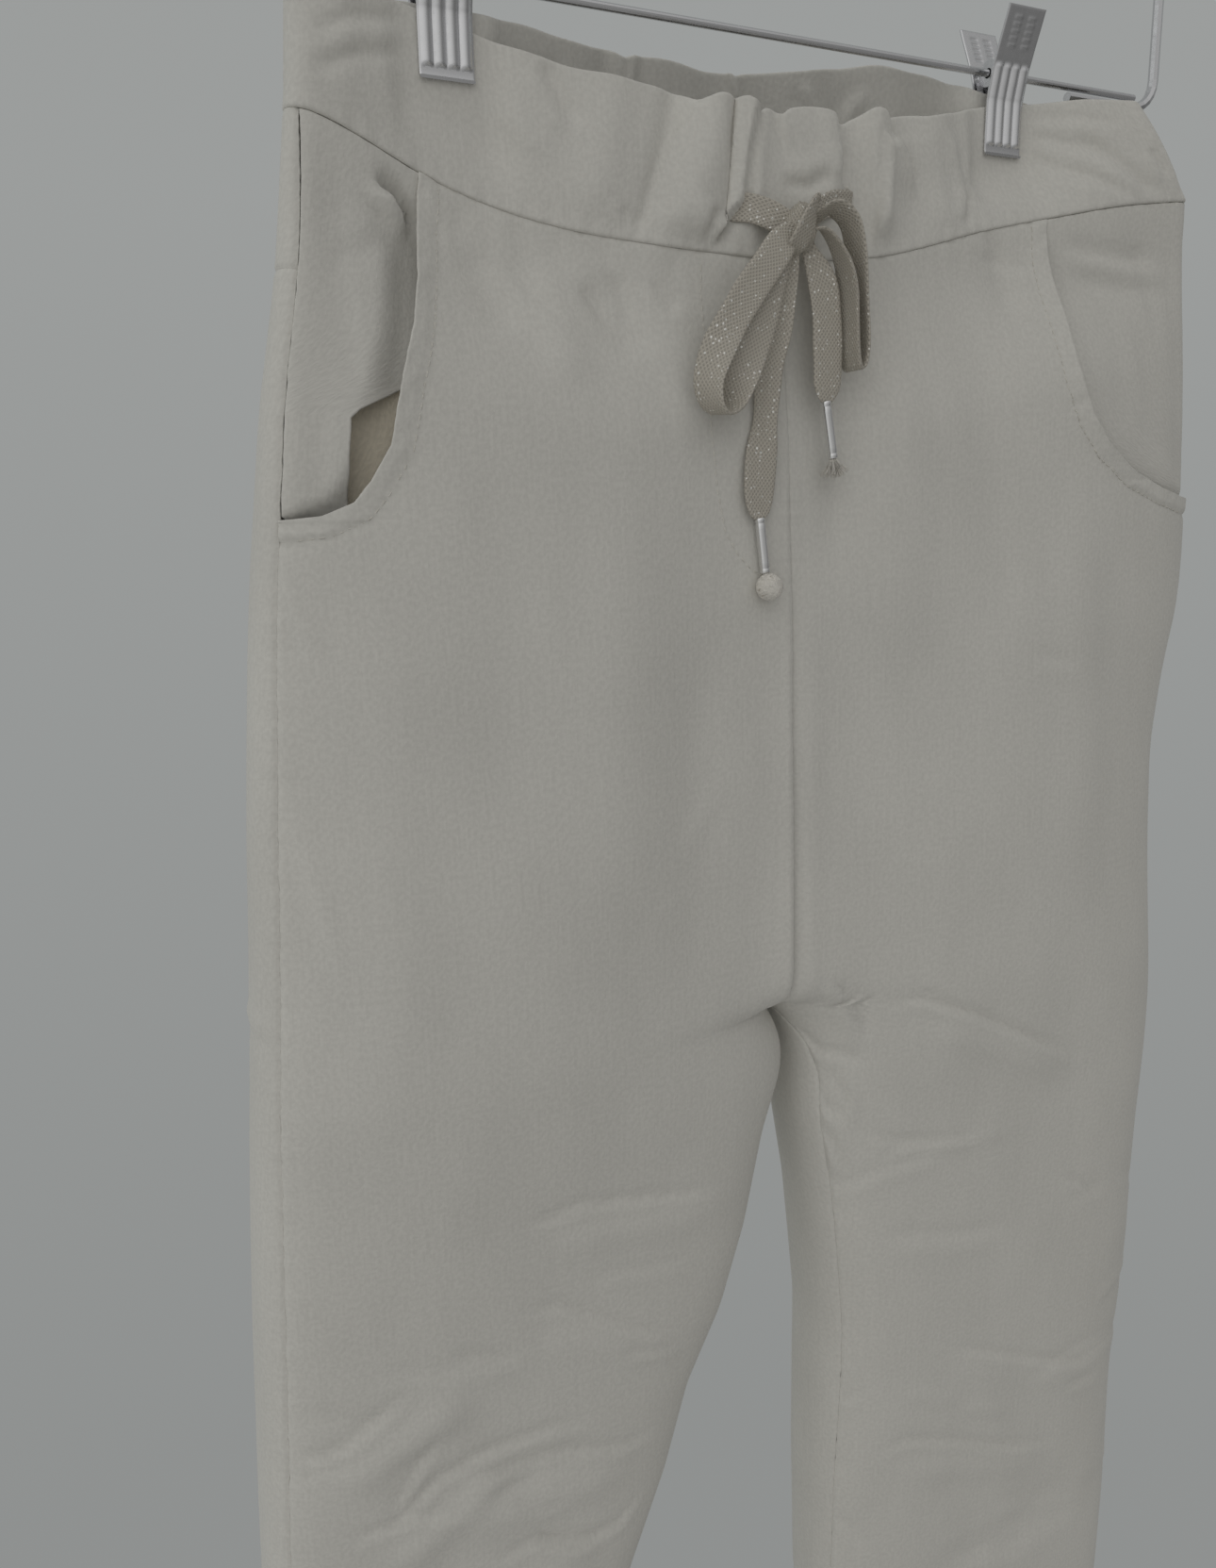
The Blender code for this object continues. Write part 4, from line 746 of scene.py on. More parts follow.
FRONT_FLAT_FROM = 176.0
FRONT_LEVEL_FROM = 178.4
PANEL_PLACES = 84
UNCUT = 9.0
FRONT_SCATTERED = 26
front_shares = [0.0, 0.0015, 0.004, 0.008, 0.014] + list(np.arange(0.022, 0.872, 0.0185))
front_shares += list(np.arange(0.874, 0.934, 0.0042)) + list(np.arange(0.9345, 0.9535, 0.0009))
front_shares += list(np.arange(0.956, 0.999, 0.0095)) + [1.0]
front_panels = {}
for side, sign, seed, scatter_from, scatter_to in (
    ("left", -1.0, 11, -210, -60), ("right", 1.0, 23, 50, 210),
):
    upper = blended(waist_row("front"), level_line(FRONT_FLAT_FROM), front_shares)
    rows = []
    for drop_of in upper + level_rows(FRONT_LEVEL_FROM):
        line, _ = front_and_back(side, drop_of)
        length = arc_length(line)
        within = (np.abs(line[:, 0]) < pocket_edge(side, line[:, 2])) & (line[:, 2] < POCKET_FOOT)
        end = length[int(np.nonzero(within)[0].max())] if within.any() else length[-1]
        rows.append(laid_row(line, float(end), PANEL_PLACES))
    rows = np.array(rows)
    x, drop, along, to_end = columns_of(rows)
    edge_drops = table_column(POCKET, POCKET_COLUMNS, "drop")
    edge_places = table_column(POCKET, POCKET_COLUMNS, side)
    opening = [(sign * place, level) for place, level in zip(edge_places, edge_drops)]
    to_pocket = np.abs(nearest_on(opening, x, drop)[0])
    to_waist = np.maximum(drop - seam_line("front", x), 0.0)
    sewn_side = drop > POCKET_FOOT + 0.3
    edge = np.minimum(np.where(sewn_side, UNCUT, to_end), HEM_DROP - drop)
    height = crease_height(FRONT_CREASES, x, drop)
    scatter = scattered_creases(seed, FRONT_SCATTERED, scatter_from, scatter_to, 440, 1000)
    height += crease_height(scatter, x, drop) * ease((to_end - 2.0) / 16.0)
    height *= ease(along / 3.0) * np.where(sewn_side, ease(to_end / 6.0), 1.0)
    height += seam_dip(to_waist, 0.35, 1.2) + waist_gathers(seed, x, to_waist) * ease(to_waist / 5.0)
    height += np.where(sewn_side, sewn(to_end, drop, 0.6, 1.0, 0.16), 0.0)
    height += sewn(along, drop, 0.42, 0.8, 0.11, 5.0)
    rise = ease((CROTCH_DROP + 4.0 - drop) / 20.0) * ease((drop - 120.0) / 200.0)
    if side == "left":
        height += 0.32 * ridge_at(along, 2.2, 0.9) * ease((CROTCH_DROP - drop) / 20.0)
        height += 1.6 * rise * ridge_at(along, 0.0, 9.0)
    else:
        height += rise * (0.8 * ridge_at(along, 9.0, 5.0) - 1.4 * ridge_at(along, 0.0, 5.0))
    hemmed = ease((POCKET_HEM - to_pocket) / 1.4 + 0.5)
    height += 0.85 * hemmed - 0.6 * ridge_at(to_pocket, POCKET_HEM, 0.8)
    height += puckers(to_pocket, 0.8 * (drop + x), 0.13, 9.0)
    height += hem_puckers(seed, drop) * np.exp(-(((to_pocket - 4.0) / 4.0) ** 4))
    opened = ease((drop - 66.0) / 30.0) * ease((166.0 - drop) / 30.0) * np.exp(-to_pocket / 8.0)
    height += 2.3 * opened * np.where(drop < POCKET_FOOT, 1.0, 0.0)
    height += hem_height(drop, along)
    piece = cloth_shell("trouser_front_" + side, rows, height, edge, CLOTH_WALL, side == "left", cloth)
    stands_for(piece, "cloth", "front_" + side)
    front_panels[side] = piece


# ---------------------------------------------------------------- back leg panels and yokes
# The back of each leg is cut in two: a shallow yoke under the waistband and the long panel below it, which
# wraps forward round the side fold to the side seam. The yoke's seam shows at the left edge of the photo.
YOKE_SIDE_DROP = 88.0
YOKE_CENTRE_DROP = 126.0
BACK_FLAT_FROM = 200.0
BACK_LEVEL_FROM = 202.6
BACK_SCATTERED = 34
BACK_CREASES = (
    (1.4, 3.4, (-30, 366), (-80, 350), (-142, 330)),
    (1.3, 3.2, (36, 374), (92, 352), (150, 338)),
    (1.2, 3.2, (-40, 402), (-100, 380), (-150, 372)),
    (1.2, 3.2, (40, 412), (90, 396), (150, 380)),
    (1.2, 3.4, (-70, 470), (-130, 462), (-180, 448)),
    (1.2, 3.4, (60, 480), (120, 470), (186, 462)),
    (1.3, 3.6, (-60, 520), (-120, 530), (-190, 516)),
    (1.3, 3.6, (52, 540), (120, 548), (190, 530)),
    (1.1, 3.2, (-90, 600), (-150, 612), (-206, 596)),
    (1.1, 3.2, (70, 620), (130, 632), (200, 610)),
    (1.0, 3.4, (-110, 700), (-170, 712)),
    (1.0, 3.4, (90, 716), (160, 706)),
    (1.0, 3.4, (-120, 800), (-180, 790), (-214, 800)),
    (1.0, 3.4, (110, 812), (180, 824)),
    (0.9, 3.2, (-116, 900), (-190, 910)),
    (0.9, 3.2, (100, 902), (170, 890)),
    (0.8, 3.0, (-60, 150), (-66, 190), (-62, 230)),
    (0.8, 3.0, (70, 146), (78, 200)),
)


def yoke_line(x):
    """The drop of the back yoke's lower seam, a shallow V."""
    share = np.clip(np.abs(x) / 195.0, 0.0, 1.0)
    return YOKE_CENTRE_DROP + (YOKE_SIDE_DROP - YOKE_CENTRE_DROP) * share


def back_rows(side, lines):
    """Rows over the whole of the back's part of each section."""
    sections = [front_and_back(side, drop_of)[1] for drop_of in lines]
    return np.array([laid_row(line, float(arc_length(line)[-1]), PANEL_PLACES) for line in sections])


back_shares = [0.0, 0.0025, 0.006, 0.012, 0.021] + list(np.arange(0.034, 0.999, 0.0245)) + [1.0]
yoke_shares = [0.0, 0.004, 0.01, 0.02, 0.036] + list(np.linspace(0.06, 0.94, 22))
yoke_shares += [0.964, 0.98, 0.99, 0.996, 1.0]
for side, seed, scatter_from, scatter_to in (("left", 31, -210, -50), ("right", 47, 50, 210)):
    upper = blended(yoke_line, level_line(BACK_FLAT_FROM), back_shares)
    rows = back_rows(side, upper + level_rows(BACK_LEVEL_FROM))
    x, drop, along, to_end = columns_of(rows)
    to_yoke = np.maximum(drop - yoke_line(x), 0.0)
    height = crease_height(BACK_CREASES, x, drop)
    scatter = scattered_creases(seed, BACK_SCATTERED, scatter_from, scatter_to, 260, 1000)
    height += crease_height(scatter, x, drop)
    height *= ease(along / 3.0) * ease(to_end / 10.0)
    height += sewn(to_yoke, x, 0.6, 1.0, 0.14)
    height += sewn(to_end, drop, 0.6, 1.0, 0.16)
    height += sewn(along, drop, 0.5, 0.9, 0.12, 5.0)
    height += hem_height(drop, along)
    piece = cloth_shell(
        "trouser_back_" + side, rows, height, HEM_DROP - drop, CLOTH_WALL, side == "right", cloth
    )
    stands_for(piece, "cloth", "back_" + side)

    rows = back_rows(side, blended(waist_row("back"), yoke_line, yoke_shares))
    x, drop, along, to_end = columns_of(rows)
    to_waist = np.maximum(drop - seam_line("back", x), 0.0)
    to_yoke = np.maximum(yoke_line(x) - drop, 0.0)
    height = seam_dip(to_waist, 0.35, 1.2) + waist_gathers(seed + 1, x, to_waist) * ease(to_waist / 7.0)
    height += sewn(to_yoke, x, 0.6, 1.0, 0.14)
    height += seam_dip(to_end, 0.6, 1.0) + seam_dip(along, 0.5, 0.9)
    edge = UNCUT + 0.0 * drop
    piece = cloth_shell("trouser_yoke_" + side, rows, height, edge, CLOTH_WALL, side == "right", cloth)
    stands_for(piece, "cloth", "yoke_" + side)


# ---------------------------------------------------------------- pocket facings and bags
# Behind each curved opening lies the facing, of the trousers' own cloth, sewn in at the waist and the side
# seam, and behind that the pocket's thin plain cotton bag. Both hang slack and so stand back from the edge.
FACING_COLUMNS = ("drop", "left", "right")
FACING = (
    (50, -14, -14), (118, -12, -12), (128, -2, -12), (135, 11, -12), (143, 24, -12), (155, 22, -8),
    (163, 15, -3), (168, 7, 1), (186, -4, -8),
)
FACING_DEPTH = 3.4
FACING_SLACK = 2.4
FACING_TOP_EASE = 34.0
FACING_DIVE = {"left": 5.0, "right": 1.2}
FACING_DIVE_REACH = 11.5
FACING_DIVE_TOP = 34.0
FACING_END = 188.0
FACING_SEWN_DEPTH = 0.2
FACING_SHOWN_TO = 170.2
FACING_LEAST = 20.0
BAG_DEPTH = 4.9
BAG_OVERLAP = 24.0
BAG_SIDE_MARGIN = 16.0
BAG_LEAST = 10.0
BAG_WALL = 0.8
FACING_PLACES = 26
BAG_PLACES = 16
FACING_CREASES = (
    (1.3, 2.8, (140, 64), (152, 67), (176, 69), (192, 68)),
    (-0.7, 2.6, (144, 72), (176, 77), (206, 76)),
    (0.7, 3.4, (176, 62), (186, 84), (190, 104)),
    (-0.7, 5.0, (168, 84), (174, 120), (178, 148)),
    (4.4, 2.0, (-146, 63), (-139, 65), (-134.5, 71), (-131.5, 80)),
    (-1.2, 1.6, (-149, 67), (-143, 70), (-139, 76)),
    (0.6, 3.4, (-140, 79), (-152, 86), (-164, 88)),
    (0.5, 4.0, (-158, 96), (-160, 120), (-160, 140)),
)
bag_cloth = woven_material("pocket_cotton", (0.63, 0.575, 0.47), 0.03, 0.05)


def moved_in(row, depth):
    """A row moved into the cloth's hollow."""
    moved = row.copy()
    moved[:, :2] += row[:, 3:5] * np.reshape(depth, (-1, 1))
    return moved


def backward(side, row, reach):
    """How far the pocket's inner cloth falls back beside the opening's edge, as it is pulled open."""
    beyond = np.abs(row[:, 0]) - pocket_edge(side, row[:, 2])
    below_seam = row[:, 2] - seam_line("front", row[:, 0])
    dive = FACING_DIVE[side] * ease((reach - beyond) / FACING_DIVE_REACH)
    return dive * ease((below_seam - 6.0) / FACING_DIVE_TOP)


def facing_row(side, line):
    """A row of the facing, which lies shallow where it is sewn in."""
    away = np.abs(line[:, 0])
    ahead = across_at(FACING, FACING_COLUMNS, side, line[:, 2])
    kept = (away >= pocket_edge(side, line[:, 2]) + ahead) | (away >= away.max() - FACING_LEAST)
    line = line[int(np.nonzero(kept)[0].min()) :]
    row = laid_row(line, float(arc_length(line)[-1]) - 0.4, FACING_PLACES)
    shown = ease((FACING_SHOWN_TO - row[:, 2]) / 3.2)
    to_side = row[:, 6]
    shallow = FACING_SEWN_DEPTH + (FACING_DEPTH - FACING_SEWN_DEPTH) * ease(to_side / 14.0)
    shallow = shallow + FACING_SLACK * ease((to_side - 16.0) / 30.0)
    sewn_in = ease((row[:, 2] - seam_line("front", row[:, 0])) / FACING_TOP_EASE)
    shallow = FACING_SEWN_DEPTH + (shallow - FACING_SEWN_DEPTH) * sewn_in
    depth = shown * shallow + (1.0 - shown) * FACING_DEPTH + backward(side, row, FACING_DIVE_REACH)
    return moved_in(row, depth)


def bag_row(side, line):
    """A row of the bag, behind the facing and clear of the side fold."""
    away = np.abs(line[:, 0])
    outer = away.max() - BAG_SIDE_MARGIN
    inner = np.minimum(pocket_edge(side, line[:, 2]) - BAG_OVERLAP, outer - BAG_LEAST)
    line = line[(away >= inner) & (away <= outer)]
    row = laid_row(line, float(arc_length(line)[-1]), BAG_PLACES)
    return moved_in(row, BAG_DEPTH + FACING_SLACK + backward(side, row, FACING_DIVE_REACH + 8.0))


pocket_shares = [0.0, 0.002, 0.005, 0.01, 0.018] + list(np.linspace(0.03, 0.97, 44))
pocket_shares += [0.985, 0.992, 0.996, 1.0]
for side in ("left", "right"):
    blends = blended(waist_row("front"), level_line(FACING_END), pocket_shares)
    lines = [front_and_back(side, drop_of)[0] for drop_of in blends]
    for kind, row_of, crease_size, wall, surface, slot in (
        ("facing", facing_row, 1.0, CLOTH_WALL, cloth, "cloth"),
        ("bag", bag_row, 0.5, BAG_WALL, bag_cloth, "pocket_cloth"),
    ):
        rows = np.array([row_of(side, line) for line in lines])
        x, drop, along, to_end = columns_of(rows)
        from_top = np.abs(drop - drop[0])
        edge = np.minimum(np.minimum(along, to_end), np.minimum(from_top, np.abs(drop - drop[-1])))
        height = crease_height(FACING_CREASES, x, drop) * ease(to_end / 12.0)
        height = crease_size * (height * ease(along / 4.0) * ease(from_top / 6.0))
        name = "%s_%s" % (kind, side)
        piece = cloth_shell("trouser_pocket_" + name, rows, height, edge, wall, side == "left", surface)
        stands_for(piece, slot, "pocket_" + name)


# ---------------------------------------------------------------- waistband
# A casing of the same cloth, 50 mm deep, over wide elastic, so it is full of upright folds between the two
# clips, which nip it flat. The front's left part laps over the right one where the drawstring comes out.
BAND_WALL = 2.0
CLIP_AT = 118.0
BAND_TOP_LEFT = -168.0
BAND_TOP_RIGHT = 180.0
BAND_HELD = 128.0
BAND_PINCHED = 2.3
BAND_PINCH_REACH = 18.0
BAND_BULGE = 1.6
BAND_SAMPLES = 2400
BAND_PLACES = 330
# The band's soft folds: x at the top and at the seam, the half width and the height.
GATHERS = {}
GATHERS["front"] = (
    (-152, -156, 6, 1.0), (-25, -42, 8, 3.4), (-39, -54, 5.5, -3.0), (-62, -74, 9, 2.4), (-19, -25, 3, -2.4),
    (-8, -14, 4, 2.0), (10, 12, 6, 1.2), (20, 21, 6, 2.2), (34, 33, 6, -2.2), (43, 44, 4.5, 2.6),
    (60, 62, 9, -1.6), (78, 80, 8, 1.6), (90, 94, 6, -1.2),
)
GATHERS["back"] = (
    (-150, -154, 6, 1.2), (-92, -94, 8, 1.2), (-47, -48, 4, -1.4), (-54, -54, 5, 1.2), (-38, -40, 4, 1.0),
    (-10, -4, 8, 1.2), (2, 5, 3, -1.2), (30, 30, 10, -1.6), (48, 50, 8, 1.4), (70, 72, 10, -1.6),
    (96, 94, 9, 1.4), (152, 160, 7, 1.5),
)
# Steps where a fold of the casing stands over its neighbour: x at the top, at two places between and at the
# seam, its height, how far it dies away, the raised side (-1 is the left), and where it starts and ends.
STEPS = {}
STEPS["front"] = (
    ((-9, -14, -17, -31), 4.6, 14.0, -1, -0.1, 1.1),
    ((-16, -21, -21, -21), 2.0, 4.5, 1, -0.1, 0.48),
    ((-31, -42, -50, -54), 1.6, 9.0, 1, -0.1, 1.1),
    ((0, 3, 3, 3), 2.0, 6.0, 1, -0.1, 0.36),
    ((24, 27, 27, 27), 1.8, 9.0, -1, -0.1, 0.6),
    ((47, 59, 66, 70), 4.0, 7.0, -1, -0.1, 0.66),
    ((45, 46, 43, 38), 3.4, 10.0, 1, 0.12, 1.0),
)
STEPS["back"] = (
    ((1, 8, 10, 12), 2.2, 5.0, 1, -0.1, 1.1),
    ((-1, 6, 8, 9), 1.8, 4.0, -1, -0.1, 1.1),
    ((-44, -46, -48, -50), 1.6, 8.0, -1, -0.1, 1.1),
)
# Where the top edge rises (or, negative, drops) at its folds: x, half width and rise.
TOP_EDGES = {}
TOP_EDGES["front"] = (
    (-54, 12, 0.8), (-31, 4, -1.8), (-22, 6, 1.2), (-13, 3.5, 1.8), (-7.6, 1.6, -1.6), (1, 2.4, -2.0),
    (12, 9, 1.4), (29, 4.5, -2.6), (43, 4.5, 2.2), (49, 2.5, -2.0), (64, 10, 1.2),
)
TOP_EDGES["back"] = (
    (-54, 5, 0.9), (-46, 3, -1.4), (-30, 10, 0.8), (2, 2.5, -0.9), (20, 14, -0.8), (62, 14, 0.9),
    (-90, 14, 0.8),
)
BAND_CREASES = {}
BAND_CREASES["front"] = (
    (0.8, 2.6, (130, 23), (138, 23), (147, 25), (157, 29)),
    (1.5, 3.2, (146, 21), (158, 27), (165, 31), (175, 38), (190, 49)),
    (1.2, 3.0, (130, 30), (139, 34), (155, 39), (164, 43), (176, 49)),
    (0.9, 2.2, (180, 26), (185, 31), (191, 38)),
    (0.5, 2.6, (128, 15), (150, 15), (170, 18)),
    (0.9, 2.8, (-128, 24), (-148, 28), (-166, 36)),
    (0.7, 2.6, (-127, 14), (-150, 18), (-164, 26)),
    (1.3, 3.4, (-87, 22), (-81, 33), (-75, 44)),
    (1.0, 4.0, (-126, 32), (-118, 39), (-106, 46)),
    (-0.7, 5.0, (-112, 30), (-98, 42), (-84, 56)),
    (1.0, 2.4, (-57, 68), (-56, 75), (-58, 80)),
    (0.8, 2.2, (-60, 66), (-62, 77)),
    (1.2, 2.4, (-27, 64), (-31, 76), (-36, 81)),
    (-1.0, 3.6, (84, 26), (88, 44), (91, 62)),
    (0.9, 2.6, (93, 48), (91, 58), (88, 64)),
    (1.0, 2.8, (22, 50), (10, 56), (-2, 55)),
    (1.1, 2.4, (28, 40), (27, 54)),
    (0.9, 3.0, (102, 34), (98, 48)),
)
BAND_CREASES["back"] = (
    (1.0, 3.0, (127, 20), (158, 26), (184, 36)),
    (1.0, 3.0, (-127, 20), (-148, 26), (-164, 36)),
    (0.8, 2.8, (-70, 14), (-72, 30), (-76, 48)),
    (0.7, 2.8, (62, 8), (54, 18), (50, 34)),
    (0.7, 2.8, (30, 8), (36, 18), (34, 34)),
)


def band_line(face, t):
    """The waistband's outer face at a share t of the way down it, at many even places along it."""
    left, right = BAND[0][0], BAND[-1][0]
    share = 0.5 - 0.5 * np.cos(math.pi * np.linspace(0.0, 1.0, BAND_SAMPLES))
    place = left + (right - left) * share
    reach_left = BAND_TOP_LEFT + (left - BAND_TOP_LEFT) * t
    reach_right = BAND_TOP_RIGHT + (right - BAND_TOP_RIGHT) * t
    drawn_right = BAND_HELD + (place - BAND_HELD) * (reach_right - BAND_HELD) / (right - BAND_HELD)
    drawn_left = -BAND_HELD + (place + BAND_HELD) * (reach_left + BAND_HELD) / (left + BAND_HELD)
    x = np.where(place > BAND_HELD, drawn_right, np.where(place < -BAND_HELD, drawn_left, place))
    pinch = np.exp(-(((np.abs(place) - CLIP_AT) / BAND_PINCH_REACH) ** 6))
    top = read(BAND, BAND_COLUMNS, face + "_top", place, 5.0)
    waver = 0.25 * np.sin(x * 0.13 + 0.4) + 0.15 * np.sin(x * 0.29 + 2.0)
    for notch, half_width, rise in TOP_EDGES[face]:
        waver = waver + rise * ridge_at(x, notch, half_width)
    top = top - waver * (1.0 - pinch) * ease((150.0 - np.abs(x)) / 30.0)
    seam = seam_line(face, place) - 0.05
    top_out = read(BAND, BAND_COLUMNS, face + "_top_out", place, 5.0)
    seam_out = read(BAND, BAND_COLUMNS, face + "_seam_out", place, 5.0)
    out = top_out + (seam_out - top_out) * t + BAND_BULGE * math.sin(math.pi * t) * (1.0 - pinch)
    held = pinch * (1.0 - ease((t - 0.5) / 0.4))
    out = out * (1.0 - held) + BAND_PINCHED * held
    gathered = np.zeros_like(x)
    for x_top, x_seam, half_width, rise in GATHERS[face]:
        gathered += rise * ridge_at(x, x_top + (x_seam - x_top) * t, half_width)
    gathered *= 1.0 - 0.9 * float(ease((t - 0.7) / 0.3))
    round_off = closing(x, np.where(x > 0.0, reach_right, -reach_left), 8.0)
    out = (out + gathered * (1.0 - pinch)) * round_off
    lean = np.where(x > 0.0, side_out("right", 40.0) * ease((x - BAND_HELD) / 70.0), 0.0)
    at_right = side_out("right", seam) * ease(x / right)
    at_seam = np.where(x > 0.0, at_right, side_out("left", seam) * ease(x / left))
    lean = lean + (at_seam - lean) * float(ease((t - 0.4) / 0.6))
    forward = out - lean if face == "front" else -out - lean
    line = np.stack([x, forward, top + (seam - top) * t], axis=1)
    sign = 1.0 if face == "front" else -1.0
    run = np.gradient(line[:, :2], axis=0)
    run[0], run[-1] = (0.0, sign), (0.0, -sign)
    run /= np.linalg.norm(run, axis=1)[:, None]
    inward = sign * np.stack([run[:, 1], -run[:, 0]], axis=1)
    return np.concatenate([line, inward, (1.0 - held)[:, None]], axis=1)


BAND_EDGE = np.array([0.08, 0.3, 0.7, 1.2])
down_band = [0.0, 0.005, 0.012, 0.024, 0.04] + list(np.linspace(0.062, 0.938, 34))
down_band += [0.96, 0.976, 0.988, 0.995, 1.0]
for face in ("front", "back"):
    middle = band_line(face, 0.5)
    length = arc_length(middle)
    even = np.linspace(BAND_EDGE[0], length[-1] - BAND_EDGE[0], BAND_PLACES)
    even = np.concatenate([BAND_EDGE, even[2:-2], length[-1] - BAND_EDGE[::-1]])
    numbers = np.arange(len(length))
    picked = np.interp(even, length, numbers)
    rows = []
    free = []
    for t in down_band:
        row = sampled(band_line(face, t), numbers, picked)
        free.append(row[:, 5])
        rows.append(np.concatenate([row[:, :5], even[:, None], (length[-1] - even)[:, None]], axis=1))
    rows = np.array(rows)
    free = np.array(free)
    x, drop, along, to_end = columns_of(rows)
    to_side = np.minimum(along, to_end)
    down = np.array(down_band)[:, None] * np.ones_like(x)
    side_on = ease((to_side - 2.0) / 10.0)
    height = crease_height(BAND_CREASES[face], x, drop)
    for places, rise, reach, raised, begin, finish in STEPS[face]:
        away = (x - np.interp(down, (0.0, 0.33, 0.66, 1.0), places)) * raised
        lasting = ease((down - begin) / 0.1) * ease((finish - down) / 0.3)
        step = np.exp(-np.maximum(away, 0.0) / reach) / (1.0 + np.exp(-np.maximum(away, -9.0) / 0.3))
        height += rise * lasting * (step - 0.2 * ridge_at(away, -2.0, 1.7))
    height = height * free * side_on * (1.0 - 0.8 * ease((down - 0.8) / 0.2))
    from_seam = rows[-1, :, 2][None, :] - drop
    height += 0.4 * ease((6.0 - from_seam) / 6.0) * free + puckers(from_seam, x, 0.16, 6.0) * free
    depth = rows[-1, :, 2] - rows[0, :, 2]
    edge = np.minimum(np.minimum(down * depth[None, :], from_seam), to_side - BAND_EDGE[0])
    piece = cloth_shell("trouser_waistband_" + face, rows, height, edge, BAND_WALL, face == "back", cloth)
    stands_for(piece, "cloth", "waistband_" + face)
    if face == "front":
        band_front = piece


# ---------------------------------------------------------------- stitching
# Cotton thread of the cloth's colour: a row along each pocket edge and each hem, the curved row beside the
# centre that holds the fly facing, and the close stitches round the drawstring's buttonhole.
STITCH_LENGTH = 2.5
BUTTONHOLE_STITCH = 1.7
STITCH_GAP = 0.9
STITCH_RADIUS = 0.19
STITCH_SIDES = 6
# A stitch's rings: the share of the way along it, the lift out of the cloth and the share of its thickness.
STITCH_RINGS = (
    (0.0, -0.16, 0.5), (0.12, 0.04, 0.95), (0.5, 0.13, 1.0), (0.88, 0.04, 0.95), (1.0, -0.16, 0.5),
)
PATH_STEP = 0.5
thread_surface = woven_material("stitching", (0.66, 0.64, 0.58), 0.02, 0.06, 0.7)
FLY_STITCH = ((-33, 84), (-33.5, 100), (-34, 141), (-32, 162), (-29, 177), (-24, 185), (-18, 191), (-8, 196))
BUTTONHOLE = (30.0, 60.5)
BUTTONHOLE_INNER = (1.3, 5.6)
BUTTONHOLE_OUTER = (3.6, 8.1)
BUTTONHOLE_STITCHES = 44


def surface_path(piece, points, step):
    """Points every step along a line of x and drop, laid on a piece seen from the front, with its normals."""
    mesh = piece.data
    tree = BVHTree.FromPolygons([v.co for v in mesh.vertices], [p.vertices for p in mesh.polygons])
    line = np.array(points, float)
    length = arc_length(line)
    laid = []
    for x, drop in sampled(line, length, np.arange(0.0, length[-1], step)):
        ahead = Vector((0.0, 1.0, 0.0))
        hit, normal, _, _ = tree.ray_cast(Vector((x * MM, -0.3, (-ROD_DROP - drop) * MM)), ahead)
        if hit is not None:
            laid.append((hit, normal if normal.y < 0.0 else -normal))
    return laid


def ring_faces(first, rings, around, flipped=False, closed=False):
    """Four-sided faces between rings of points, which are numbered one ring after another from the first."""
    faces = []
    for i in range(rings if closed else rings - 1):
        onward = around if i + 1 < rings else around * (1 - rings)
        for j in range(around):
            a = first + i * around + j
            b = first + i * around + (j + 1) % around
            corners = (a, b, b + onward, a + onward)
            faces.append((corners[0], *corners[:0:-1]) if flipped else corners)
    return faces


def ring_turns(around):
    """The turns of a ring's points."""
    return [2.0 * math.pi * j / around for j in range(around)]


def end_faces(first, rings, around):
    """The faces that close the first ring and the last."""
    last = first + (rings - 1) * around
    return [tuple(range(first + around - 1, first - 1, -1)), tuple(range(last, last + around))]


def stitch_mesh(name, paths, stitch=STITCH_LENGTH):
    """Stitches along paths of points and normals: each is a short round thread that dips into the cloth."""
    points, faces, uv = [], [], []
    for path in paths:
        places = np.array([tuple(point) for point, _ in path])
        line = np.concatenate([places, np.array([tuple(normal) for _, normal in path])], axis=1)
        length = arc_length(places) / MM
        start = 0.2
        while start + stitch < length[-1]:
            first = len(points)
            for share, lift, size in STITCH_RINGS:
                at = start + share * stitch
                here, beyond = sampled(line, length, [at, at + 0.3])
                centre, out = here[:3], here[3:]
                out /= np.linalg.norm(out)
                run = beyond[:3] - centre
                run -= out * run.dot(out)
                run /= max(np.linalg.norm(run), 1e-9)
                across = np.cross(run, out)
                for turn, angle in enumerate(ring_turns(STITCH_SIDES)):
                    round_off = STITCH_RADIUS * size * MM * (math.cos(angle) * across + math.sin(angle) * out)
                    points.append(centre + out * lift * MM + round_off)
                    uv.append((at * MM, turn * 0.0002))
            faces += ring_faces(first, len(STITCH_RINGS), STITCH_SIDES)
            faces += end_faces(first, len(STITCH_RINGS), STITCH_SIDES)
            start += stitch + STITCH_GAP
    made = placed_mesh(name, points, faces, thread_surface, uv)
    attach(made, "root")


pocket_paths = []
for side, sign in (("left", -1.0), ("right", 1.0)):
    drops = np.linspace(POCKET[0][0], POCKET_FOOT, 200)
    edge_line = np.stack([sign * (pocket_edge(side, drops) - 0.6), drops], axis=1)
    run = np.gradient(edge_line, axis=0)
    run /= np.linalg.norm(run, axis=1)[:, None]
    moved = edge_line + sign * POCKET_HEM * np.stack([-run[:, 1], run[:, 0]], axis=1)
    moved = [
        (x, drop) for x, drop in moved
        if drop > seam_line("front", x) + 1.0 and abs(x) < read(BODY, BODY_COLUMNS, side + "_out", drop) - 5.0
    ]
    pocket_paths.append(surface_path(front_panels[side], moved, PATH_STEP))
stitch_mesh("stitching_pockets", pocket_paths)
stitch_mesh("stitching_fly", [surface_path(front_panels["left"], FLY_STITCH, PATH_STEP)])

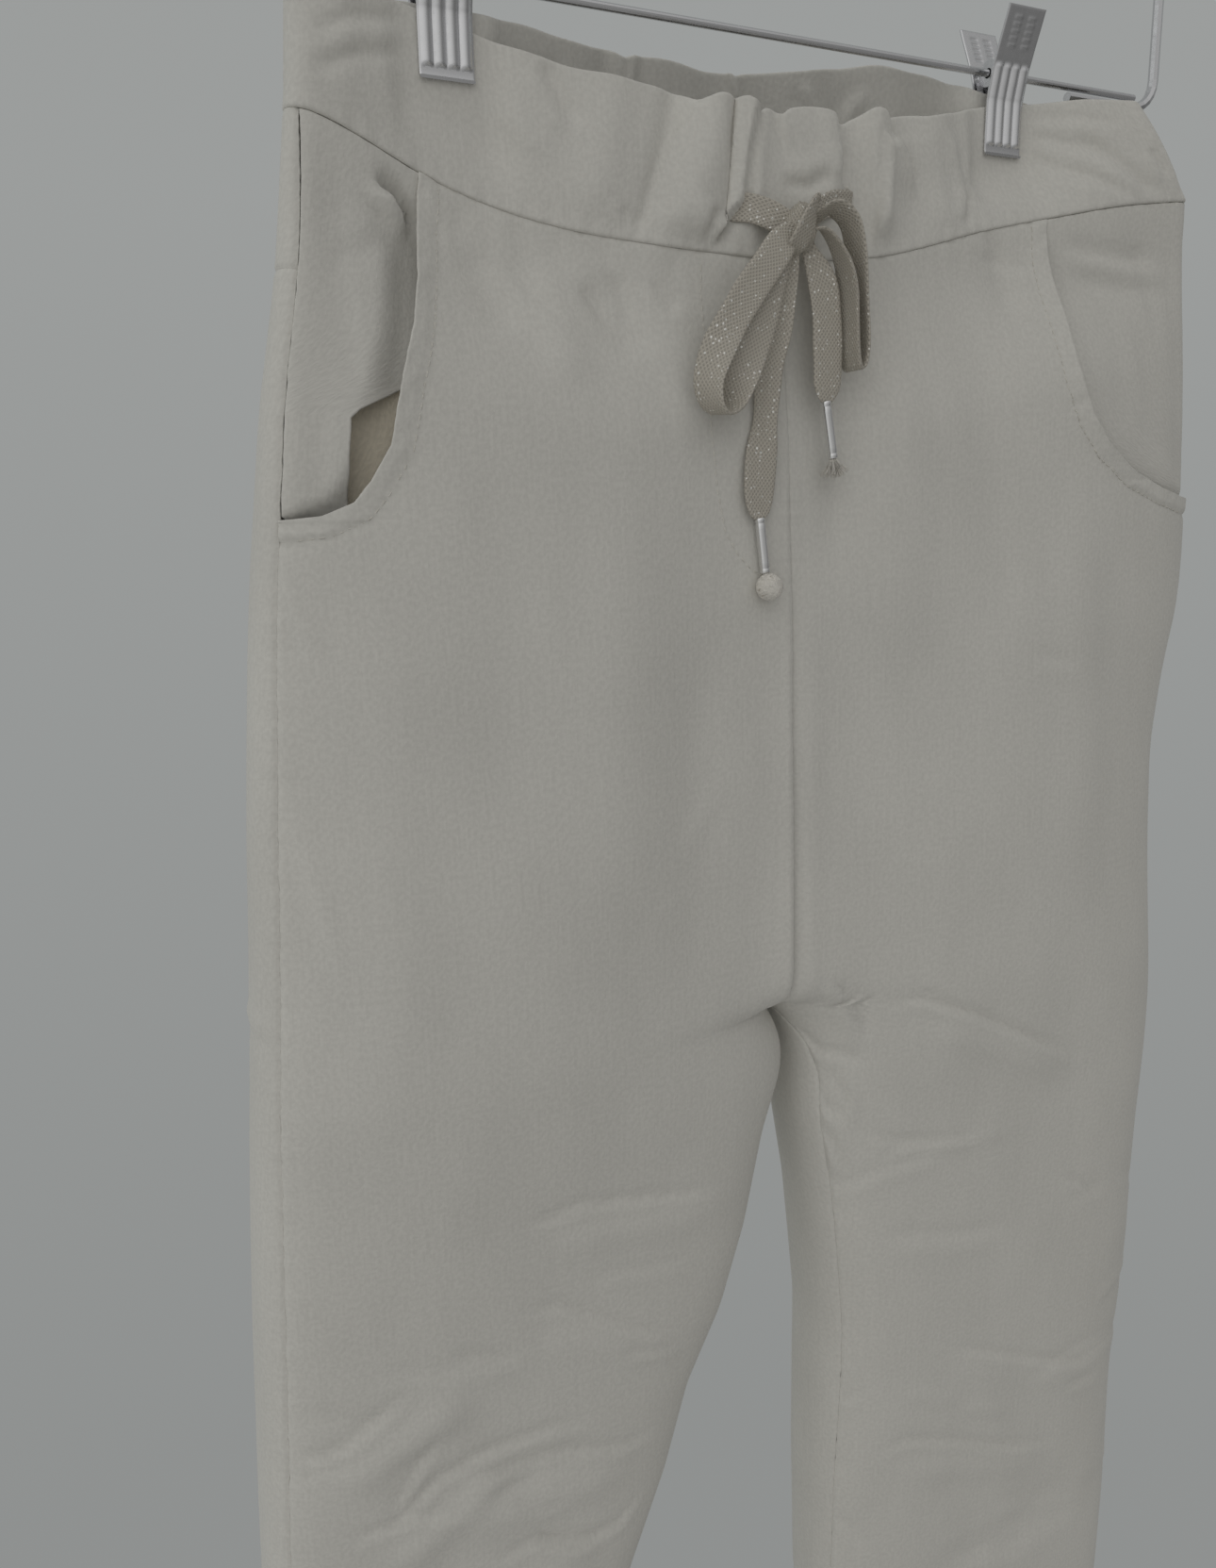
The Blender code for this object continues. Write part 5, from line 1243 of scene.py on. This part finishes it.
hem_paths = []
for side in ("left", "right"):
    for line in front_and_back(side, level_line(HEM_DROP - HEM_BAND + 0.6)):
        path = []
        for x, out, drop, in_x, in_out in line[8:-8][::2]:
            place = Vector((x + in_x * 0.05, -out - in_out * 0.05, -ROD_DROP - drop)) * MM
            path.append((place, Vector((-in_x, in_out, 0.0))))
        hem_paths.append(path)
stitch_mesh("stitching_hems", hem_paths)

centre = np.array(BUTTONHOLE)
spokes = []
for a in np.linspace(0.0, 2.0 * math.pi, BUTTONHOLE_STITCHES, endpoint=False):
    way = np.array((math.cos(a), math.sin(a)))
    ends = [centre + way * BUTTONHOLE_INNER, centre + way * BUTTONHOLE_OUTER]
    spokes.append(surface_path(band_front, ends, 0.1))
stitch_mesh("stitching_buttonhole", [spoke for spoke in spokes if len(spoke) > 6], BUTTONHOLE_STITCH)


# ---------------------------------------------------------------- drawstring
# One flat braid 12 mm wide with a glitter thread, that comes out of the waistband at two places and is tied
# in a bow. It is two cords that meet in the knot, each with its strap, its loop and its tail with a tip.
# Each route's rows give x, out and drop, how far the tape's face is turned in degrees, and its width.
TAPE_THICK = 1.3
TAPE_STEP = 1.1
TAPE_ACROSS = 13
STRAP_LEFT = (
    (-22, 18.4, 64.8, 0, 8.5), (-19, 20.4, 64.9, 0, 9.5), (-15, 23.2, 65.4, 2, 10), (-9.5, 25.7, 67.3, 6, 10),
    (-4.2, 27.4, 69.8, 10, 9),
)
STRAP_RIGHT = (
    (31.5, 18.6, 60, 0, 9), (29.5, 21.0, 60, 0, 9), (21, 23.6, 61, -3, 9), (14.5, 25.4, 63.5, -6, 8),
    (9.0, 27.2, 66.8, -8, 7),
)
KNOT_LEFT_IN = ((1.5, 28, 71.5, 12, 6), (3, 30, 72.5, 14, 5), (-0.5, 31.8, 73.2, 14, 6.5))
KNOT_LEFT_OUT = ((-1.5, 30.8, 76, 190, 5), (1.5, 29.6, 74.5, 200, 5), (0.5, 29.2, 77, 208, 6))
KNOT_RIGHT_IN = ((5.0, 28.4, 69.6, 10, 6), (3.6, 29.8, 71.0, 30, 5), (5.0, 31.4, 69.6, 45, 6))
KNOT_RIGHT_OUT = ((6.0, 32.0, 72.2, 60, 5.5), (4.0, 30.0, 73.0, 45, 5), (4.8, 29.4, 76.4, 30, 5))
LOOP_LEFT = (
    (-4.2, 32.2, 74.6, 14, 8.5), (-9, 34.4, 78.8, 12, 11), (-15, 36.2, 85.5, 8, 12), (-24, 38, 95.5, 6, 12),
    (-32, 39, 106, 10, 12), (-38, 39.2, 116, 30, 12), (-41.5, 39.2, 125.5, 55, 12), (-40.3, 39, 133, 78, 12),
    (-36, 38.6, 136.4, 95, 12), (-31.6, 38.1, 133, 118, 12), (-27.6, 37.2, 125, 148, 12),
    (-22.3, 36, 115.5, 168, 12), (-17.3, 34.9, 105, 176, 12), (-13, 34, 95, 178, 10.5),
    (-9, 33, 86.8, 180, 8.5), (-5.6, 31.9, 80.4, 180, 6),
)
LOOP_RIGHT = (
    (7.8, 32.6, 68.0, 50, 7), (12.6, 35.2, 65.8, 70, 9.5), (18.6, 35.8, 70, 82, 11), (21.6, 35.5, 78, 88, 12),
    (23.4, 35.2, 88, 90, 12), (24.6, 35, 100, 90, 12), (25.3, 35, 111, 90, 12), (24.4, 35, 118, 90, 12),
    (22, 35, 119.6, 90, 12), (20.6, 35, 113, 90, 12), (20.2, 35, 103, 90, 12), (19.4, 35, 93, 90, 12),
    (17.2, 35, 84.5, 88, 11), (13.4, 34.5, 77.5, 84, 9), (9.4, 33.8, 73.2, 80, 7),
)
TAIL_LEFT = (
    (-2.0, 29.2, 80.0, 210, 7), (-4.2, 29.4, 92, 214, 9), (-7, 29.6, 106, 210, 10), (-11, 30.0, 120, 210, 10),
    (-13, 30.6, 137, 214, 9), (-15, 31.0, 151, 194, 12), (-16, 31.2, 163, 184, 12.5),
    (-16, 31.4, 170, 180, 9), (-15.8, 31.5, 172.9, 180, 4.0),
)
TAIL_RIGHT = (
    (6.0, 29.7, 79.7, 20, 6), (10, 32.0, 90, 12, 11), (11.8, 32.8, 103, 6, 12), (12.2, 33.2, 116, 4, 12),
    (12, 33.4, 125, 4, 11.5), (11.6, 33.4, 129.5, 0, 8), (11.3, 33.4, 131.7, 0, 4.0),
)
WRAP = (
    (7.4, 27.6, 64.6, -50, 8), (6.4, 32.0, 64.8, -50, 8.5), (4.2, 35.3, 66.4, -40, 9),
    (1.6, 36.3, 70.4, -30, 9.5), (-0.8, 36.1, 75.2, -24, 9.5), (-2.6, 34.2, 79.2, -20, 9),
    (-3.4, 30.4, 81.2, -20, 8),
)
KNOT_CENTRE = (2.4, 29.1, 71.8)
KNOT_HALF_SIZES = (6.2, 5.8, 8.2)


def smooth_route(points, step):
    """Points every step along a smooth curve through a route's rows, whatever columns they hold."""
    rows = np.array(points, float)
    padded = np.vstack([2 * rows[0] - rows[1], rows, 2 * rows[-1] - rows[-2]])
    fine = []
    for index in range(1, len(padded) - 2):
        before, here, after, beyond = padded[index - 1 : index + 3]
        for t in np.linspace(0.0, 1.0, 16, endpoint=False):
            bend = (2 * before - 5 * here + 4 * after - beyond) * t**2
            twist = (3 * here - before - 3 * after + beyond) * t**3
            fine.append(0.5 * (2 * here + (after - before) * t + bend + twist))
    fine = np.array(fine + [rows[-1]])
    length = arc_length(fine)
    return sampled(fine, length, np.linspace(0.0, length[-1], max(3, int(round(length[-1] / step)) + 1)))


def room_point(x, out, drop):
    """A table's point, in metres in the part's frame."""
    return Vector((x, -out, -ROD_DROP - drop)) * MM


def tape_rings(route, seed):
    """Points, faces, UVs and centreline of a flat braid with rolled edges along a route."""
    chance = random.Random(seed)
    phase = chance.uniform(0.0, 6.0)
    rows = smooth_route(route, TAPE_STEP)
    centres = [room_point(*row[:3]) for row in rows]
    ahead_of = np.gradient(np.array([tuple(c) for c in centres]), axis=0)
    share = np.sin(np.linspace(-0.5 * math.pi, 0.5 * math.pi, TAPE_ACROSS))
    points, uv = [], []
    for number, (row, centre) in enumerate(zip(rows, centres)):
        ahead = Vector(ahead_of[number]).normalized()
        face = Vector((0.0, -1.0, 0.0))
        face = (face - face.dot(ahead) * ahead).normalized()
        face = Matrix.Rotation(math.radians(row[3]), 3, ahead) @ face
        across = ahead.cross(face).normalized()
        half = 0.5 * row[4] * (1.0 + 0.02 * math.sin(number * 0.31 + phase))
        cup = 0.35 * math.sin(number * 0.083 + phase) * half / 6.0 + 0.02 * (12.0 - row[4])
        for top in (1.0, -1.0):
            for s in share if top > 0 else share[-2:0:-1]:
                thick = 0.5 * TAPE_THICK * (0.72 + 0.45 * s * s) * math.sqrt(max(1.0 - abs(s) ** 6, 0.0))
                rib = 0.05 * math.cos(s * 6.0 * math.pi) * (1.0 - s * s)
                lift = cup * (s * s - 0.4) + top * (thick + rib)
                points.append(centre + across * (half * s * MM) + face * (lift * MM))
                uv.append((s * half * MM + (0.02 if top < 0 else 0.0), number * TAPE_STEP * MM))
    count = 2 * TAPE_ACROSS - 2
    faces = ring_faces(0, len(rows), count, flipped=True)
    faces += [cap[::-1] for cap in end_faces(0, len(rows), count)]
    return points, faces, uv, centres


def braid_material(name, colour):
    """A braided tape: crossing diagonal yarns, with painted shade in the grooves between them and painted
    light on their crests, and specks of a metallic thread that catch the light.
    """
    made, tree, shader = new_material(name)
    flat = flat_cut(tree)
    plaits = []
    for turn in (0.62, -0.62):
        turned = add_node(tree, "Mapping", {"Rotation": (0.0, 0.0, turn), "Vector": flat}).outputs["Vector"]
        wave = add_node(tree, "TexWave", {"Scale": 270.0, "Distortion": 0.6, "Detail": 1.0, "Vector": turned})
        plaits.append(wave.outputs["Fac"])
    crossed = add_node(tree, "Math", {0: plaits[0], 1: plaits[1]}, "MAXIMUM").outputs["Value"]
    bump = add_node(tree, "Bump", {"Strength": 0.55, "Distance": 0.0005, "Height": crossed})
    # Painted shade and light: the colour is darkened in the grooves between the plaits and lightened on their
    # crests, following the bump's height.
    painted_plait_shade = add_node(tree, "MapRange", {"To Min": 0.72, "To Max": 1.08, "Value": crossed}).outputs["Result"]
    shaded_yarn = add_node(tree, "VectorMath", {0: colour, "Scale": painted_plait_shade}, "SCALE").outputs["Vector"]
    cells = add_node(tree, "TexVoronoi", {"Scale": 640.0, "Randomness": 0.55, "Vector": flat}).outputs
    split = add_node(tree, "SeparateColor", {"Color": cells["Color"]}).outputs
    sized = add_node(tree, "Math", {0: split["Red"], 1: 0.30}, "MULTIPLY").outputs["Value"]
    glint = add_node(tree, "Math", {0: cells["Distance"], 1: sized}, "LESS_THAN").outputs["Value"]
    speck = add_node(tree, "MixRGB", {"Color1": shaded_yarn, "Color2": (0.85, 0.84, 0.80, 1.0), "Fac": glint})
    wire(tree, shader, {
        "Base Color": speck.outputs["Color"],
        "Normal": bump.outputs["Normal"],
        "Metallic": glint,
        "Roughness": 0.55,
    })
    return made


def polished_material(name, colour, roughness, scratch):
    """Plated metal with faint uneven polish."""
    made, tree, shader = new_material(name)
    where = add_node(tree, "TexCoord").outputs["Object"]
    polish = noise_between(tree, where, 420.0, 3.0, roughness - scratch, roughness + scratch, "3D")
    wire(tree, shader, {"Base Color": (*colour, 1.0), "Metallic": 1.0, "Roughness": polish})
    return made


tape_surface = braid_material("glitter_braid", (0.47, 0.436, 0.375))
tip_surface = polished_material("polished_tip", (0.80, 0.80, 0.80), 0.16, 0.06)
string_surface = woven_material("tuft_thread", (0.74, 0.71, 0.65), 0.05, 0.10, 0.8)

left_route = STRAP_LEFT + KNOT_LEFT_IN + LOOP_LEFT + KNOT_LEFT_OUT + TAIL_LEFT
points, faces, uv, left_centres = tape_rings(left_route, 3)
cord_left = placed_mesh("drawstring_left_cord", points, faces, tape_surface, uv)
right_route = STRAP_RIGHT + KNOT_RIGHT_IN + LOOP_RIGHT + KNOT_RIGHT_OUT + TAIL_RIGHT
points, faces, uv, right_centres = tape_rings(right_route, 8)
cord_right = placed_mesh("drawstring_right_cord", points, faces, tape_surface, uv)

# The knot: the core of the tied braid with its folds, and the braid's one turn over it.
KNOT_RINGS = 28
KNOT_AROUND = 48
points, faces, uv, _ = tape_rings(WRAP, 5)
first = len(points)
for i in range(KNOT_RINGS + 1):
    tilt = math.pi * i / KNOT_RINGS
    for turn in ring_turns(KNOT_AROUND):
        fold = 1.0 + 0.07 * math.sin(3.0 * turn + 2.2 * tilt) - 0.05 * abs(math.sin(2.5 * turn - 3.0 * tilt))
        x = KNOT_CENTRE[0] + KNOT_HALF_SIZES[0] * fold * math.sin(tilt) * math.cos(turn)
        out = KNOT_CENTRE[1] + KNOT_HALF_SIZES[1] * fold * math.sin(tilt) * math.sin(turn)
        drop = KNOT_CENTRE[2] - KNOT_HALF_SIZES[2] * fold * math.cos(tilt)
        points.append(room_point(x, out, drop))
        uv.append((0.006 * turn, 0.008 * tilt))
faces += ring_faces(first, KNOT_RINGS + 1, KNOT_AROUND)
knot = placed_mesh("drawstring_knot_wrap", points, faces, tape_surface, uv)
stands_for(knot, "tape", "drawstring_knot")

# The tips: a rolled metal tube crimped on each tail, given by its two ends. The profile gives a share of the
# way along and a radius.
TIPS = {
    "left": ((-15.8, 31.5, 172.2), (-13.6, 32.0, 192.4)),
    "right": ((11.3, 33.4, 131.0), (14.9, 33.6, 151.4)),
}
TIP_PROFILE = (
    (0.0, 1.55), (0.004, 1.75), (0.015, 1.9), (0.05, 1.95), (0.07, 1.93), (0.085, 1.80), (0.10, 1.80),
    (0.115, 1.92), (0.2, 1.92), (0.35, 1.92), (0.5, 1.92), (0.65, 1.92), (0.8, 1.92), (0.885, 1.92),
    (0.90, 1.80), (0.915, 1.80), (0.93, 1.93), (0.95, 1.95), (0.985, 1.9), (0.996, 1.75), (1.0, 1.55),
)
TIP_AROUND = 40
TIP_CRIMPS = 5
TIP_CRIMP = 0.07
tips = {}
for tip_side, places in TIPS.items():
    start, end = [room_point(*place) for place in places]
    run = end - start
    ahead = run.normalized()
    side = ahead.orthogonal().normalized()
    other = ahead.cross(side)
    points, uv = [], []
    for share, radius in TIP_PROFILE:
        for turn in ring_turns(TIP_AROUND):
            crimp = TIP_CRIMP * (0.5 - 0.5 * math.cos(TIP_CRIMPS * turn)) * math.sin(math.pi * share) ** 0.5
            outward = side * math.cos(turn) + other * math.sin(turn)
            points.append(start + run * share + outward * (radius * (1.0 - crimp) * MM))
            uv.append((turn * 0.001, share * run.length))
    faces = ring_faces(0, len(TIP_PROFILE), TIP_AROUND) + end_faces(0, len(TIP_PROFILE), TIP_AROUND)
    tips[tip_side] = placed_mesh("drawstring_tip_" + tip_side, points, faces, tip_surface, uv)
    stands_for(tips[tip_side], "tip_metal", "tip_" + tip_side)

# The left tip ends in a ball: threads wound round a core at many slants.
BALL_CENTRE = (-13.1, 34.2, 197.3)
BALL_RADIUS = 4.5
BALL_WINDINGS = 34
BALL_THREAD = 0.62
WINDING_RINGS = 40
WINDING_AROUND = 6
CORE_RINGS = 16
CORE_AROUND = 24
chance = random.Random(19)
middle = room_point(*BALL_CENTRE)
points, faces, uv = [], [], []
for winding in range(BALL_WINDINGS):
    axis = Vector((0.55 + chance.gauss(0.0, 0.33), chance.gauss(0.0, 0.4), 0.75 + chance.gauss(0.0, 0.3)))
    if winding % 3 == 0:
        axis = Vector((0.8 + chance.gauss(0.0, 0.2), chance.gauss(0.0, 0.3), -0.5))
    axis = axis.normalized()
    side = axis.orthogonal().normalized()
    other = axis.cross(side)
    offset = chance.uniform(-0.72, 0.72)
    faces += ring_faces(len(points), WINDING_RINGS, WINDING_AROUND, closed=True)
    for turn in ring_turns(WINDING_RINGS):
        outward = side * math.cos(turn) + other * math.sin(turn)
        ring_radius = BALL_RADIUS * math.sqrt(1.0 - offset**2)
        for lean in ring_turns(WINDING_AROUND):
            thread = BALL_THREAD * (outward * math.cos(lean) + axis * math.sin(lean))
            points.append(middle + (outward * ring_radius + axis * BALL_RADIUS * offset + thread) * MM)
            uv.append((lean * 0.0005, turn * 0.0045))
faces += ring_faces(len(points), CORE_RINGS + 1, CORE_AROUND, flipped=True)
for i in range(CORE_RINGS + 1):
    tilt = math.pi * i / CORE_RINGS
    for turn in ring_turns(CORE_AROUND):
        away = Vector((math.sin(tilt) * math.cos(turn), math.sin(tilt) * math.sin(turn), math.cos(tilt)))
        points.append(middle + away * (BALL_RADIUS * 0.98 * MM))
        uv.append((0.004 * turn, 0.004 * tilt))
ball = placed_mesh("drawstring_ball", points, faces, string_surface, uv)
stands_for(ball, "thread", "tip_ball")

# The right tip ends in a tuft: fine threads that spread and curl.
TUFT_LENGTH = 8.0
TUFT_STRANDS = 170
TUFT_THREAD = 0.15
STRAND_RINGS = 7
STRAND_AROUND = 4
start, root = [room_point(*place) for place in TIPS["right"]]
ahead = (root - start).normalized()
side = ahead.orthogonal().normalized()
other = ahead.cross(side)
points, faces, uv = [], [], []
for _ in range(TUFT_STRANDS):
    turn = chance.uniform(0.0, 2.0 * math.pi)
    spread = math.sqrt(chance.uniform(0.0, 1.0))
    outward = side * math.cos(turn) + other * math.sin(turn)
    reach = TUFT_LENGTH * chance.uniform(0.78, 1.05)
    curl = chance.uniform(-0.5, 0.5)
    faces += ring_faces(len(points), STRAND_RINGS, STRAND_AROUND)
    faces += end_faces(len(points), STRAND_RINGS, STRAND_AROUND)
    for i in range(STRAND_RINGS):
        t = i / (STRAND_RINGS - 1.0)
        forward = ahead * (reach * t * (1.0 - 0.25 * spread * t) - 0.4)
        centre = root + (forward + outward * spread * (1.2 + 4.4 * t**1.3)) * MM
        centre += (side * math.sin(3.0 * t + turn) + other * math.cos(4.0 * t)) * (curl * t * MM)
        for lean in ring_turns(STRAND_AROUND):
            round_off = outward * math.cos(lean) + ahead.cross(outward) * math.sin(lean)
            points.append(centre + round_off * (TUFT_THREAD * MM))
            uv.append((lean * 0.0003, t * 0.008))
tuft = placed_mesh("drawstring_tuft", points, faces, string_surface, uv)
stands_for(tuft, "thread", "tip_tuft")

for cord, centres, nodes, rest in (
    (cord_left, left_centres, ("strap_left", "loop_left", "tail_left"), (knot, tips["left"], ball)),
    (cord_right, right_centres, ("strap_right", "loop_right", "tail_right"), (tips["right"], tuft)),
):
    stands_for(cord, "tape", *["drawstring_" + node for node in nodes])
    path = [tuple(centre) for centre in centres]
    run = sum(math.dist(a, b) for a, b in zip(path, path[1:]))


# ---------------------------------------------------------------- hanger
# A plated steel wire hanger: the bent wire frame, its neck and hook, the rod that the clips slide on, and two
# sprung steel clips with ribbed jaws. The wires keep their solids; the clips' plates are pressed in detail.
PLATE_WIDTH = 18.7
PLATE_THICK = 1.0
CLIP_PROFILE = (
    (14.0, -20.0), (11.8, -14.5), (9.3, -8.5), (7.3, -3.4), (6.0, 0.0), (4.9, 4.4), (3.8, 9.0),
    (3.25, 13.0), (3.05, 28.5), (4.0, 30.6),
)
# The back plate's window: its half width, and its upper and lower edge.
WINDOW = (5.0, 9.5, 17.0)
RIB_PITCH = 4.4
RIB_HEIGHT = 1.25
GRIP_HEIGHT = 0.34
GRIP_DROPS = (-16.4, -14.2, -12.0, -9.8, -7.6)
GRIP_SIDES = (-3.4, 3.4)
PLATE_STEP = 0.45
PLATE_PLACES = 89
PLATE_ROUND = 0.22
PLATE_SHARP_FROM = 38.0
plated = polished_material("plated_steel", (0.66, 0.66, 0.67), 0.24, 0.07)
for node in (
    "hanger_rod", "hanger_frame_left", "hanger_frame_right", "hanger_neck", "hanger_hook",
    "clip_spring_left", "clip_spring_right",
):
    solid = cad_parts[node]
    solid.data.materials.clear()
    solid.data.materials.append(plated)

profile = smooth_route(CLIP_PROFILE, PLATE_STEP)
runs = np.gradient(profile, axis=0)
runs /= np.linalg.norm(runs, axis=1)[:, None]
outward = np.stack([runs[:, 1], -runs[:, 0]], axis=1)
columns = np.linspace(-0.5 * PLATE_WIDTH, 0.5 * PLATE_WIDTH, PLATE_PLACES)
across, drop = np.meshgrid(columns, profile[:, 1])
jaw = ease((drop + 2.6) / 2.2) * ease((27.6 - drop) / 1.2)
ribs = RIB_HEIGHT * np.abs(np.sin(math.pi * across / RIB_PITCH)) * (np.abs(across) < 2.0 * RIB_PITCH)
grip = 0.0
for row_drop in GRIP_DROPS:
    for bar in GRIP_SIDES:
        grip = grip + GRIP_HEIGHT * np.exp(-(((drop - row_drop) / 0.62) ** 2) - ((across - bar) / 1.9) ** 4)
press = jaw * ribs + grip
to_edge = np.minimum(0.5 * PLATE_WIDTH - np.abs(across), arc_length(profile)[:, None])
rounding = PLATE_ROUND * np.exp(-np.maximum(to_edge, 0.0) / 0.2)
window = (np.abs(across) < WINDOW[0]) & (drop > WINDOW[1]) & (drop < WINDOW[2])


def clip_plate(name, place, forward, hole):
    """One plate of a clip, at a place along the rod, with its hole left out."""
    points, faces = [], []
    for sign in (1.0, -1.0):
        for i in range(len(profile)):
            for j in range(len(columns)):
                lift = sign * 0.5 * PLATE_THICK + press[i, j] - sign * rounding[i, j]
                away = profile[i] + outward[i] * lift
                points.append(Vector((place + columns[j], -forward * away[0], -ROD_DROP - away[1])) * MM)
    under = len(profile) * len(columns)
    width = len(columns)
    shut = ~(hole[:-1, :-1] & hole[1:, :-1] & hole[:-1, 1:] & hole[1:, 1:])
    kept = [(int(i), int(j)) for i, j in np.argwhere(shut)]
    present = set(kept)
    for i, j in kept:
        a, b = i * width + j, (i + 1) * width + j
        c, d = b + 1, a + 1
        faces.append((a, b, c, d))
        faces.append((under + a, under + d, under + c, under + b))
        sides = (((i, j - 1), a, b), ((i + 1, j), b, c), ((i, j + 1), c, d), ((i - 1, j), d, a))
        for neighbour, p, q in sides:
            if neighbour not in present:
                faces.append((p, under + p, under + q, q))
    if forward < 0:
        faces = [corners[::-1] for corners in faces]
    plate = placed_mesh(name, points, faces, plated)
    plate.data.set_sharp_from_angle(angle=math.radians(PLATE_SHARP_FROM))
    return plate


for side, place in (("left", -CLIP_AT), ("right", CLIP_AT)):
    for forward, face, hole in ((1.0, "front", np.zeros_like(window)), (-1.0, "back", window)):
        plate = clip_plate("hanger_clip_%s_%s" % (face, side), place, forward, hole)
        stands_for(plate, "hanger_metal", "clip_%s_%s" % (face, side))
